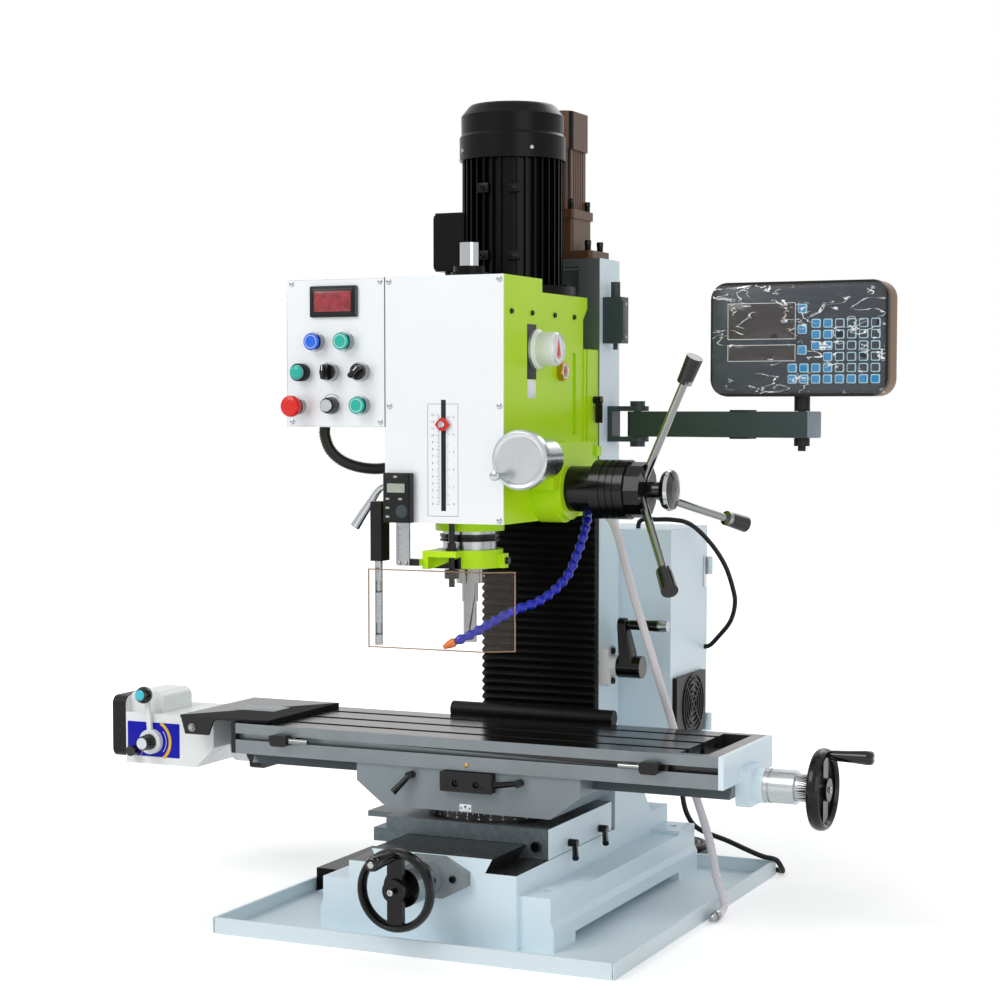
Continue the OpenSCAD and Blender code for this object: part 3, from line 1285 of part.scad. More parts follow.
// Clear guard on its rod, at the left of the head
guard_x = -110;
guard_y = -84;
guard_t = 3;
guard_z0 = 424;
guard_z1 = 541;
guard_left = -121;
guard_right = 65;
guard_wing = 50;
guard_turn = 34;
guard_rod_d = 12;
guard_face = guard_y - 10;
clamp_w = 18;
clamp_low = 552;
clamp_h = 88;
module guard_shield() color("lightcyan", 0.4) {
    slab(guard_left, guard_right, guard_face - guard_t, guard_face, guard_z0, guard_z1);
    move([guard_right, guard_face - guard_t, guard_z0]) rotate(guard_turn) cube([guard_wing, guard_t, guard_z1 - guard_z0]);
    color("silver") move([guard_x, guard_y, guard_z0 + guard_t]) zcyl(guard_rod_d, clamp_low + clamp_h / 2 - guard_z0 - guard_t);
    for (z = [guard_z0 + clamp_w, guard_z1 - 2 * clamp_w])
        slab(guard_x - guard_rod_d / 2, guard_x + guard_rod_d / 2, guard_face, guard_y, z, z + clamp_w);
}
scale_left = -93;
scale_right = -49;
scale_t = 12;
scale_low = 610;
scale_h = 73;
module quill_scale() color("dimgray") {
    // Digital scale head on the front plate, and the clamp block of the guard
    slab(scale_left, scale_right, plate_front - scale_t, plate_front, scale_low, scale_low + scale_h);
    difference() {
        slab(guard_x - clamp_w / 2, guard_x + clamp_w / 2, guard_y - clamp_w / 2, guard_y + clamp_w, clamp_low, clamp_low + clamp_h);
        move([guard_x, guard_y, clamp_low - over]) zcyl(guard_rod_d + 2 * bearing_gap, clamp_h / 2 + 2 * over);
    }
    slab(guard_x + clamp_w / 2 - over, -head_w / 2, guard_y + clamp_w / 2, guard_y + clamp_w, clamp_low + clamp_h * 0.7, clamp_low + clamp_h);
}

// Display arm and console
module dro_arm() color("dimgray") move([arm_pivot_x, arm_pivot_y, arm_z]) {
    rotate(arm_slope) difference() {
        union() {
            slab(0, arm_l + arm_w / 2, -arm_w / 2, arm_w / 2, -arm_w / 2, arm_w / 2);
            up(-arm_w / 2) zcyl(arm_w * 0.8, arm_w);
        }
        up(-arm_w) zcyl(pivot_d + 2 * bearing_gap, 2 * arm_w);
        move([arm_l, 0, -arm_w]) zcyl(pivot_d + 2 * bearing_gap, 2 * arm_w);
    }
}
module dro_console() color("darkslategray") move([post_x, post_y, 0]) {
    move([0, -console_d / 2, console_z + console_h / 2]) rotate([-90, 0, 0]) linear_extrude(console_d) rrect(console_w, console_h, console_r);
    up(arm_z - arm_w) zcyl(pivot_d, console_z - arm_z + arm_w);
    up(arm_z + arm_w / 2 + slide_gap) zcyl(2 * pivot_d, console_z - arm_z - arm_w / 2 - slide_gap + over);
    up(arm_z - arm_w / 2 - slide_gap - pivot_d) zcyl(2 * pivot_d, pivot_d);
}

// Cords and hoses: points of each route, in order
supply_y = 241;
supply_z = 640;
supply_d = 13;
supply_route = [[108, 241, 639.6], [109, 241, 627], [119, 240, 615], [134, 240, 600], [147, 236, 571], [163, 226, 529], [180, 215, 486],
    [195, 208, 450], [211, 206, 404], [225, 212, 353], [235, 234, 295], [246, 246, 244], [264, 240, 205], [276, 240, 172],
    [289, 240, 135], [300, 237, 104], [307, 232, 80], [314, 225, 58], [321, 220, 42], [328, 216, 29], [332, 212, 16], [333, 203, 9],
    [334, 190, 8], [335, 170, 8]];
coolant_d = 15;
coolant_route = [[104.8, 140, 640], [121, 139, 640], [138, 124, 634], [149, 102, 618], [152, 82, 594], [148, 67, 565], [138, 52, 530],
    [121, 33, 505], [103, 14, 490], [83, -6, 481], [60, -30, 467], [36, -59, 449], [14, -81, 436]];
nozzle_route = [[14, -81, 436], [6, -85, 432], [-1, -87.5, 428]];
conduit_d = 18;
conduit_route = [[-219, -50, 749.6], [-219, -50, 736], [-213, -46, 716], [-199, -38, 700], [-179, -26, 690], [-156, -12, 686],
    [-132, -2, 688], [-112, 2, 690], [-96.3, 2, 690]];
loop_d = 8;
loop_route = [[116, 400, 581], [118, 400, 592], [130, 400, 597], [145, 400, 596], [173, 405, 596], [201, 415, 589], [228, 435, 559],
    [246, 460, 520], [254, 480, 478], [253, 492, 452], [238, 512, 421], [212, 526, 393], [196, 532, 378], [186, 532, 375]];
mains_d = 9;
mains_route = [[150, 520, 153], [151, 520, 140], [153, 519, 120], [160, 515, 96], [174, 508, 77], [190, 502, 68], [209, 500, 62],
    [239, 499, 54], [268, 498, 44], [290, 499, 36], [306, 501, 31], [317, 503, 29.6], [325, 506, 26], [330, 511, 16], [331, 519, 7],
    [326, 528, 4.6], [312, 534, 4.6], [290, 537, 4.6], [250, 536, 4.6], [215, 534, 4.6], [187, 539, 4.6], [169, 551, 4.6],
    [161, 572, 4.6], [160, 592, 4.6], [160, 611, 4.6]];
tail_l = 30;
tail_shares = [[0, 0], [1.2, 0], [1.2, 0.36], [0.7, 0.36], [0.9, 0.5], [0.7, 0.62], [0.9, 0.75], [0.6, 1], [0, 1]];
module supply_hose() {
    color("lightgray") tube(smooth(supply_route, 2), supply_d, 10);
    color("silver") move(supply_route[len(supply_route) - 1]) rotate([90, 0, 0])
        rotate_extrude() polygon([for (p = tail_shares) [p[0] * supply_d / 2, p[1] * tail_l - over]]);
}
module coolant_hose() {
    path = smooth(coolant_route, 4);
    color("blue") ribbed(path, [for (i = [0:len(path) - 1]) coolant_d / 2 * (i % 2 == 0 ? 1 : 0.72)], coolant_d / 2, 8);
    color("orange") ribbed(nozzle_route, [coolant_d * 0.45, coolant_d * 0.42, coolant_d * 0.24], coolant_d / 4, 8);
}
module conduit() {
    path = smooth(conduit_route, 10);
    color("black") ribbed(path, [for (i = [0:len(path) - 1]) conduit_d / 2 * (i % 2 == 0 ? 1 : 0.88)], conduit_d / 2, 8);
}
module loop_cable() color("black") tube(smooth(loop_route, 2), loop_d, 10);
module mains_cord() color("black") tube(smooth(mains_route, 2), mains_d, 10);

// Spare length of the mains cord, laid behind the tray in two layers of loops
coil_x = 100;
coil_y = 620;
coil_r = 60;
coil_pitch = 9.8;
coil_turns = 3;
coil_low = 4.6;
coil_rings = 24;
function coil_t(i) = i / coil_rings;
function coil_last() = (2 * coil_turns + 0.5) * coil_rings;
function coil_radius(t) = coil_r - coil_pitch * min(t, 2 * coil_turns + 0.5 - t);
function coil_height(t) = coil_low + coil_pitch * min(1, max(0, (t - coil_turns) * 2));
coil_path = concat([[coil_x + coil_r, coil_y - mains_d, coil_low]],
    [for (i = [0:coil_last()]) let (t = coil_t(i)) [coil_x + coil_radius(t) * cos(360 * t), coil_y + coil_radius(t) * sin(360 * t), coil_height(t)]],
    [[coil_x - coil_r, coil_y - mains_d, coil_low + coil_pitch]]);
coil_gap = min([for (i = [0:len(coil_path) - 1]) for (j = [i + coil_rings / 2:len(coil_path) - 1]) norm(coil_path[i] - coil_path[j])]) - mains_d;
echo(coil_gap = coil_gap);
plug_d = 27;
plug_l = 40;
plug_shares = [[0, 0], [0.36, 0], [0.5, 0.3], [0.62, 0.55], [1, 0.68], [1, 0.96], [0.94, 1], [0, 1]];
pin_d = 4.8;
pin_l = 19;
module mains_coil() color("black") {
    tube(coil_path, mains_d, 6);
    move([coil_x - coil_r, coil_y - mains_d, coil_low + coil_pitch]) rotate([90, 0, 0]) {
        rotate_extrude() polygon([for (p = plug_shares) [p[0] * plug_d / 2, p[1] * plug_l]]);
        for (x = [-pin_l / 2, pin_l / 2]) move([x, 0, plug_l - over]) cylinder(d = pin_d, h = pin_l + over);
    }
}

chip_tray();
base_casting();
column();
bellows();
column_fittings();
elevation_motor();
cabinet();
cabinet_door();
mains_cord();
mains_coil();
supply_hose();
loop_cable();
elevation_crank();
y_handwheel();
y_wheel_handle();
saddle();
saddle_lock_front();
saddle_lock_rear();
apron();
table_lock_left();
table_lock_right();
table();
end_housings();
feed_box();
x_handwheel();
x_wheel_handle();
feed_lever();
feed_speed_knob();
rapid_button();
table_stop_left();
table_stop_right();
head_slide();
head_lock_lever();
head_casting();
head_cover();
front_plate();
control_box();
spindle_motor();
conduit();
quill_scale();
coolant_hose();
speed_selector();
up_button();
down_button();
start_button();
e_stop();
mode_selector();
pump_selector();
speed_pot();
quill();
quill_collar();
spindle();
depth_stop_knob();
feed_hub();
fine_feed_dial();
feed_clutch_knob();
quill_lock_lever();
guard_shield();
dro_arm();
dro_console();
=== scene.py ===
# Mill drill: finishes and fine parts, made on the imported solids.
# Lengths in the code are millimetres in the model's own frame, turned to metres when a mesh is made.
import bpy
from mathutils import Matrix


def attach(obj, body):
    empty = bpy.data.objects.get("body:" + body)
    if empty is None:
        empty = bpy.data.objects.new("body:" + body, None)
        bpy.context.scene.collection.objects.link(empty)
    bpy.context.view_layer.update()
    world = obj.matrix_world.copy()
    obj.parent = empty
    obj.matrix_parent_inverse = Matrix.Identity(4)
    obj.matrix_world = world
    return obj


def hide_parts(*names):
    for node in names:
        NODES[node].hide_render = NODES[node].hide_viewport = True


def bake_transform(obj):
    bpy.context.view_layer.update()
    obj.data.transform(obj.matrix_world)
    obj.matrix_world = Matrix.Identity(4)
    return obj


bl_info = {
    "name": "Workshop Mill Drill",
    "version": (1, 0, 0),
    "blender": (4, 5, 0),
    "location": "3D View > Sidebar > Mill Drill",
    "description": "Finishes and fine parts of a gear head mill drill on its packed solids",
    "category": "Object",
}

from math import atan2, cos, degrees, hypot, pi, radians, sin

import bmesh
import bpy
from bpy.props import FloatProperty, FloatVectorProperty, IntProperty, PointerProperty
from mathutils import Matrix, Vector

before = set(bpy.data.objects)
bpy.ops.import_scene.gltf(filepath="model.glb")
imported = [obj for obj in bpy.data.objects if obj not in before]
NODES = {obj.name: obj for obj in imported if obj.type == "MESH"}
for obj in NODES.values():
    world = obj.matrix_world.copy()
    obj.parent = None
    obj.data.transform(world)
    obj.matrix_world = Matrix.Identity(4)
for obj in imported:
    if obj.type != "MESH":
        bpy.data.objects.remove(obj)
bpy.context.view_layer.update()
MM = 0.001

# Places that part.scad gives, for the parts that are dressed here
PLATE_Y = -89.0  # front of the two front plates
HEAD_X = 96.0  # right side of the head
SCALE_Y = -101.0  # front of the digital depth scale
FEED_Y = 20.0  # front of the power feed
FEED_KNOB = (-582.0, 237.0)  # X and Z of the power feed's speed knob
RAPID = (-614, 221)  # X and Z of its rapid button
CONSOLE = (437.3, 227.5, 882.0)  # middle of the display console's face
MOTOR_Y, LIFT_Y = 155, 322  # axes of the spindle motor and the elevation motor
FEED_HUB = (57, 658)  # Y and Z of the quill feed's shaft
SWIVEL_Y = 95  # axis of the saddle's swivel disc
X_SHAFT = (95, 227)  # Y and Z of the table screw
Y_SHAFT_Z = 100  # height of the saddle screw


def srgb(text):
    """Linear colour of an sRGB hex value."""
    out = []
    for i in (0, 2, 4):
        c = int(text[i : i + 2], 16) / 255
        out.append(c / 12.92 if c <= 0.04045 else ((c + 0.055) / 1.055) ** 2.4)
    return tuple(out)


# Sizes and colours that a user may change


def colour_prop(name, tip, value):
    return FloatVectorProperty(name=name, description=tip, subtype="COLOR", min=0, max=1, default=srgb(value))


def length_prop(name, tip, value):
    return FloatProperty(name=name, description=tip, subtype="DISTANCE", unit="LENGTH", min=0,
        default=value * MM)


class MillColours(bpy.types.PropertyGroup):
    head: colour_prop("Head enamel", "Lime enamel of the head and its slide", "BDE81A")
    casting: colour_prop("Casting enamel", "Pale enamel of the base, column and cabinet", "DFF0F9")
    tray: colour_prop("Tray enamel", "Pale enamel of the chip tray", "DAE8EE")
    feed: colour_prop("Feed housing", "Colour of the power feed's moulded housing", "E9ECEC")
    feed_panel: colour_prop("Feed panel", "Enamel of the panel on the power feed", "1619AA")
    coolant: colour_prop("Coolant hose", "Colour of the jointed coolant hose", "1420B0")
    # The elevation motor's default colour is partly painted reflection: dark enamel tinted brown
    gear_motor: colour_prop("Elevation motor", "Enamel of the elevation gear motor, brown from painted reflection", "5A3F2A")


class MillSizes(bpy.types.PropertyGroup):
    screw: length_prop("Plate screws", "Head diameter of the screws on the front plates", 9)
    bolt: length_prop("Socket screws", "Head diameter of the larger socket screws", 13)
    digit: length_prop("Scale digits", "Height of the numbers on the depth scale", 5)
    line: length_prop("Scale lines", "Width of the lines on dials and scales", 0.55)
    beads: IntProperty(name="Hose joints", description="Coolant hose's joints", default=25, min=12, max=40)


# Mesh building: each function returns points and faces in millimetres


def ring(radii, z):
    """Points about Z at even angles, one for each radius."""
    spots = [(r, 2 * pi * i / len(radii)) for i, r in enumerate(radii)]
    return [(r * cos(a), r * sin(a), z) for r, a in spots]


def turned(profile, steps=48, hoop=False):
    """Solid of revolution about Z from (radius, height) points; a hoop's profile closes on itself."""
    verts, faces, rings = [], [], []
    for r, z in profile:
        points = [(0, 0, z)] if r < 1e-6 else ring([r] * steps, z)
        rings.append(list(range(len(verts), len(verts) + len(points))))
        verts += points
    if hoop:
        rings.append(rings[0])
    for a, b in zip(rings, rings[1:]):
        for i in range(steps):
            j = (i + 1) % steps
            if len(a) == 1 and len(b) == 1:
                break
            if len(a) == 1:
                faces.append((a[0], b[j], b[i]))
            elif len(b) == 1:
                faces.append((a[i], a[j], b[0]))
            else:
                faces.append((a[i], a[j], b[j], b[i]))
    if not hoop:
        faces += [tuple(end) for end in (rings[0][::-1], rings[-1]) if len(end) > 1]
    return verts, faces


def round_rect(w, h, r, steps=6):
    """Outline of a rectangle with round corners, about its centre."""
    r = min(r, w / 2 - 1e-3, h / 2 - 1e-3)
    pts = []
    for k, (sx, sy) in enumerate(((1, 1), (-1, 1), (-1, -1), (1, -1))):
        for i in range(steps + 1):
            a = pi / 2 * (k + i / steps)
            pts.append((sx * (w / 2 - r) + r * cos(a), sy * (h / 2 - r) + r * sin(a)))
    return pts


def loft(rings):
    """Solid through rings of equal point counts."""
    n = len(rings[0])
    verts = [p for points in rings for p in points]
    faces = []
    for k in range(len(rings) - 1):
        for i in range(n):
            j = (i + 1) % n
            faces.append((k * n + i, k * n + j, (k + 1) * n + j, (k + 1) * n + i))
    faces.append(tuple(reversed(range(n))))
    faces.append(tuple(range((len(rings) - 1) * n, len(rings) * n)))
    return verts, faces


def lifted(outline, *levels):
    """Solid over a flat outline; a level is a height and the outline's scale there."""
    return loft([[(x * k, y * k, z) for x, y in outline] for z, k in levels])


def stepped(w, h, r, levels, least=0.1, steps=6):
    """Solid of round rectangles; a level is a height and how far its edge draws in."""
    outlines = [(z, round_rect(w - 2 * o, h - 2 * o, max(r - o, least), steps)) for z, o in levels]
    return loft([[(x, y, z) for x, y in outline] for z, outline in outlines])


def slab(w, h, t, r=2, edge=0.6):
    """Plate with round corners and a softened front edge."""
    return stepped(w, h, r, [(0, 0), (t - edge, 0), (t - edge * 0.3, edge * 0.3), (t, edge)])


def mark(w, h, t=0.12):
    """Printed line."""
    return slab(w, h, t, 0.05, 0.02)


def dish(w, h, t, r=2, edge=1.2):
    """Key cap: a plate whose edges draw in and whose top is a little hollow."""
    return stepped(w, h, r, [(0, 0), (t * 0.6, 0.1), (t, edge), (t - 0.25, edge * 1.9)], 0.15)


TURN_24 = [2 * pi * i / 24 for i in range(24)]
# A hexagon's radius at 24 even angles, as a share of its corners' radius
HEXAGON = [cos(pi / 6) / cos(a % (pi / 3) - pi / 6) for a in TURN_24]


def socket_screw(d, h):
    """Cap screw with a hexagon socket."""
    r = d / 2
    head = [ring([k * r] * 24, z) for z, k in ((0, 1), (h * 0.85, 1), (h, 0.9))]
    return loft(head + [ring([d * 0.28 * k for k in HEXAGON], z) for z in (h, h * 0.35)])


def hex_head(d, h):
    """Hexagon bolt head with a chamfered top."""
    levels = ((0, 1), (h * 0.8, 1), (h, 0.86))
    return loft([ring([d / 2 * min(k, top) for k in HEXAGON], z) for z, top in levels])


def pan_screw(d, h):
    """Pan head screw with a cross recess."""
    verts, faces = turned([(d / 2, 0), (d / 2, h * 0.3), (d * 0.42, h * 0.75), (d * 0.25, h), (0, h)], 24)
    arm = ((-d * 0.3, -d * 0.05), (d * 0.3, -d * 0.05), (d * 0.3, d * 0.05), (-d * 0.3, d * 0.05))
    for outline in (arm, [(-y, x) for x, y in arm]):
        points, sides = lifted(outline, (h * 0.9, 1), (h * 1.04, 1))
        faces += [tuple(len(verts) + i for i in side) for side in sides]
        verts += points
    return verts, faces


def fluted(radius, flute, levels, plain=0):
    """Knob with 18 flutes above its plain foot; a level is a height and the radius's share there."""
    rings = []
    for z, k in levels:
        rings.append(ring([radius * k + (flute if z > plain and i % 4 < 2 else 0) for i in range(72)], z))
    return loft(rings)


def along(path, i):
    """Direction of a path at one of its points."""
    a = Vector(path[max(i - 1, 0)])
    b = Vector(path[min(i + 1, len(path) - 1)])
    return (b - a).normalized()


def swept(path, radii, sides=12):
    """Tube along a path; radii is one number or one for each point."""
    if not hasattr(radii, "__len__"):
        radii = [radii] * len(path)
    up = Vector((0, 0, 1)) if abs(along(path, 0).z) < 0.9 else Vector((1, 0, 0))
    side = along(path, 0).cross(up).normalized()
    rings = []
    for i, p in enumerate(path):
        t = along(path, i)
        side = (side - t * side.dot(t)).normalized()
        other = t.cross(side)
        spots = ring([1] * sides, 0)
        rings.append([tuple(Vector(p) + radii[i] * (c * side + s * other)) for c, s, _ in spots])
    return loft(rings)


def smooth_path(points, step):
    """Catmull-Rom curve through the points, one point about every step millimetres."""
    pts = [Vector(p) for p in points]
    pts = [2 * pts[0] - pts[1]] + pts + [2 * pts[-1] - pts[-2]]
    out = []
    for a, b, c, d in zip(pts, pts[1:], pts[2:], pts[3:]):
        n = max(1, round((c - b).length / step))
        for k in range(n):
            t = k / n
            square, cube = (2 * a - 5 * b + 4 * c - d) * t * t, (3 * b - a - 3 * c + d) * t**3
            out.append(0.5 * ((2 * b) + (c - a) * t + square + cube))
    out.append(pts[-2])
    return out


def at_even_steps(path, step):
    """The same path with points at even distances."""
    marks = [0]
    for a, b in zip(path, path[1:]):
        marks.append(marks[-1] + (b - a).length)
    n = max(2, round(marks[-1] / step))
    out, k = [], 0
    for i in range(n + 1):
        s = marks[-1] * i / n
        while k < len(marks) - 2 and marks[k + 1] < s:
            k += 1
        f = (s - marks[k]) / max(marks[k + 1] - marks[k], 1e-9)
        out.append(path[k].lerp(path[k + 1], min(f, 1)))
    return out


def length_of(path):
    """Length of a path in millimetres."""
    return sum((Vector(b) - Vector(a)).length for a, b in zip(path, path[1:]))


def figures(text, height):
    """Mesh of a plain number, about its centre."""
    curve = bpy.data.curves.new("figure", "FONT")
    curve.body, curve.size, curve.align_x, curve.align_y = text, height * 1.4, "CENTER", "CENTER"
    curve.resolution_u = 2
    holder = bpy.data.objects.new("figure", curve)
    mesh = holder.to_mesh()
    verts = [(v.co.x, v.co.y, 0) for v in mesh.vertices]
    faces = [tuple(p.vertices) for p in mesh.polygons]
    holder.to_mesh_clear()
    bpy.data.objects.remove(holder)
    bpy.data.curves.remove(curve)
    return verts, faces


# Directions that a flat piece can face; x runs to the viewer's right and y up
FRONT = Matrix(((1, 0, 0, 0), (0, 0, -1, 0), (0, 1, 0, 0), (0, 0, 0, 1)))
BACK = Matrix(((-1, 0, 0, 0), (0, 0, 1, 0), (0, 1, 0, 0), (0, 0, 0, 1)))
RIGHT = Matrix(((0, 0, 1, 0), (1, 0, 0, 0), (0, 1, 0, 0), (0, 0, 0, 1)))
LEFT = Matrix(((0, 0, -1, 0), (-1, 0, 0, 0), (0, 1, 0, 0), (0, 0, 0, 1)))
TOP = Matrix.Identity(4)
DOWN = Matrix(((1, 0, 0, 0), (0, -1, 0, 0), (0, 0, -1, 0), (0, 0, 0, 1)))


def place(x, y, z, facing=TOP, turn=0):
    """Matrix of a spot that faces one way, turned about that way by degrees."""
    return Matrix.Translation((x, y, z)) @ facing @ Matrix.Rotation(radians(turn), 4, "Z")


def on_drum(axis, centre, radius, angle):
    """Spot on the skin of a drum: x runs along its axis and z points out."""
    c, s = cos(angle), sin(angle)
    run, out = ((1, 0, 0), (0, c, s)) if axis == "x" else ((0, 1, 0), (c, 0, s))
    run, out = Vector(run), Vector(out)
    spot = Matrix((run, out.cross(run), out)).transposed().to_4x4()
    spot.translation = Vector(centre) + out * radius
    return spot


class Piece:
    """One mesh object gathered from several shapes, each with its own finish."""

    def __init__(self, name):
        self.name, self.bm, self.finishes = name, bmesh.new(), []

    def add(self, shape, finish_name, *spot):
        """Adds a shape at a spot, which is a matrix or what place takes."""
        where = spot[0] if len(spot) == 1 else place(*spot) if spot else TOP
        if finish_name not in self.finishes:
            self.finishes.append(finish_name)
        index = self.finishes.index(finish_name)
        verts = [self.bm.verts.new((where @ Vector(p)) * MM) for p in shape[0]]
        for f in shape[1]:
            try:
                self.bm.faces.new([verts[i] for i in f]).material_index = index
            except ValueError:
                pass
        return self

    def done(self, body, slot, *replaced, sharp=35, stretch=None):
        """Makes the object, which rides on its body, or, when stretch is given, stays where it is without a
        body.
        """
        mesh = bpy.data.meshes.new(self.name)
        bmesh.ops.recalc_face_normals(self.bm, faces=self.bm.faces)
        self.bm.to_mesh(mesh)
        self.bm.free()
        for name in self.finishes:
            mesh.materials.append(MATERIALS[name])
        mesh.polygons.foreach_set("use_smooth", [True] * len(mesh.polygons))
        mesh.set_sharp_from_angle(angle=radians(sharp))
        piece = bpy.data.objects.new(self.name, mesh)
        bpy.context.scene.collection.objects.link(piece)
        if stretch:
            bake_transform(piece)
        else:
            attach(piece, body)
        if replaced:
            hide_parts(*replaced)
        return piece


# Materials


def add(tree, kind, inputs=None, **settings):
    """Adds one shader node; an input is a value or a socket to link from."""
    made = tree.nodes.new(kind)
    for key, value in settings.items():
        setattr(made, key, value)
    for key, value in (inputs or {}).items():
        socket = made.inputs[key]
        if isinstance(value, bpy.types.NodeSocket):
            tree.links.new(value, socket)
        else:
            socket.default_value = value
    return made


def ramp(tree, value, low, high, start=0.0, end=1.0):
    """A value spread from start and end to low and high."""
    limits = {"Value": value, "From Min": start, "From Max": end, "To Min": low, "To Max": high}
    return add(tree, "ShaderNodeMapRange", limits).outputs["Result"]


def noise(tree, spot, size, **inputs):
    """Noise whose spots are about a size in millimetres across."""
    inputs = {"Vector": spot, "Scale": 1 / (size * MM), "Detail": 3.0, **inputs}
    return add(tree, "ShaderNodeTexNoise", inputs).outputs["Fac"]


def maths(tree, operation, *values):
    """Output of a math node."""
    inputs = dict(enumerate(values))
    return add(tree, "ShaderNodeMath", inputs, operation=operation).outputs["Value"]


def rgba(c):
    """Four numbers for a colour socket, from hex text or linear numbers."""
    return (*(srgb(c) if isinstance(c, str) else c)[:3], 1)


def blended(tree, share, low, high):
    """Colour between two others."""
    inputs = {"Factor": share, 6: rgba(low), 7: rgba(high)}
    return add(tree, "ShaderNodeMix", inputs, data_type="RGBA").outputs[2]


def surface(tree, **inputs):
    """The shader and the output; a double underscore is a space in an input's name."""
    inputs = {key.replace("__", " "): value for key, value in inputs.items()}
    shader = add(tree, "ShaderNodeBsdfPrincipled", inputs)
    add(tree, "ShaderNodeOutputMaterial", {"Surface": shader.outputs["BSDF"]})


def new_material(name):
    """An empty material, its tree and the place on the surface."""
    mat = bpy.data.materials.new(name)
    mat.use_nodes = True
    mat.node_tree.nodes.clear()
    return mat, mat.node_tree, add(mat.node_tree, "ShaderNodeTexCoord").outputs["Object"]


MATERIALS = {}
LIME, PALE, SHEET = "Lime enamel over cast iron", "Pale enamel over cast iron", "Pale enamel on folded sheet"
SATIN, GREY_ENAMEL_BROWN_REFLECTION, GLOSS = "Black satin motor enamel", "Gear motor enamel, brown from painted reflection", "Black gloss enamel"
GREY, POWDER, GROUND = "Dark grey satin enamel", "Black powder coat", "Ground cast iron across"
TABLE, WAY, MILLED = "Oiled table iron, darkened by painted reflection", "Oiled way iron", "Milled apron iron"
SCRAPED, CAST, GROOVE = "Scraped saddle iron", "Raw grey casting", "As cast groove"
STEEL, ALU, CHROME = "Turned steel", "Turned aluminium", "Polished chrome plate"
DARK_REFLECTION_STEEL, BRUSHED, PHENOLIC = "Polished steel darkened by painted reflection", "Brushed aluminium sheet", "Polished black phenolic"
NYLON, ABS, PANEL = "Black moulded nylon", "White moulded ABS", "Blue panel film"
YELLOW, INK, WHITE = "Yellow ink", "Black ink", "White ink"
RED, GREEN, BLUE = "Red enamel", "Green button plastic", "Blue button plastic"
CYAN, RUBBER, SHEATH = "Cyan inlay", "Folded black rubber sheet", "Black vinyl cord sheath"
LINK, NOZZLE, GOLD = "Blue acetal hose link", "Orange acetal nozzle", "Gold anodised bezel"
AMBER, WINDOW, RED_WINDOW = "Amber oil glass", "Dark display window", "Red display window"
CRYSTAL, KEY_PRINT, KEY = "Grey green liquid crystal", "Pale key print", "Cyan key film"
CONSOLE_FILM, BRONZE, CAP = "Blue black console film", "Bronze textured console side", "Grey moulded cap"
BRASS, EDGE, CLEAR = "Brass oiler", "Brown polycarbonate edge", "Clear polycarbonate sheet"
FILM, BRAID = "Wrinkled clear film", "Clear braided vinyl hose"


def finish(name, colour, rough, metal=0.0, grain=1.0, depth=0.02, mottle=0.05, mottle_size=60, shine=0.5,
        rough_range=0.06, stretch=(1, 1, 1), **inputs):
    """A surface with its grain as bump and roughness and a slow drift of colour.
    grain and mottle_size are the real sizes in millimetres, depth is the grain's height, shine the
    specular level, and mottle and rough_range how far colour and roughness drift."""
    MATERIALS[name], tree, spot = new_material(name)
    colour = srgb(colour) if isinstance(colour, str) else colour
    stretched = add(tree, "ShaderNodeMapping", {"Vector": spot, "Scale": stretch}).outputs["Vector"]
    fine = noise(tree, stretched, grain, Roughness=0.6)
    slow = noise(tree, spot, mottle_size)
    dark, light = [x * (1 - mottle) for x in colour], [min(1, x * (1 + mottle)) for x in colour]
    roughness = ramp(tree, fine, max(rough - rough_range, 0.02), min(rough + rough_range, 1))
    bump = add(tree, "ShaderNodeBump", {"Height": fine, "Strength": 0.6, "Distance": depth * MM})
    surface(tree, Base__Color=blended(tree, slow, dark, light), Metallic=metal, Roughness=roughness,
        Specular__IOR__Level=shine, Normal=bump.outputs["Normal"], **inputs)


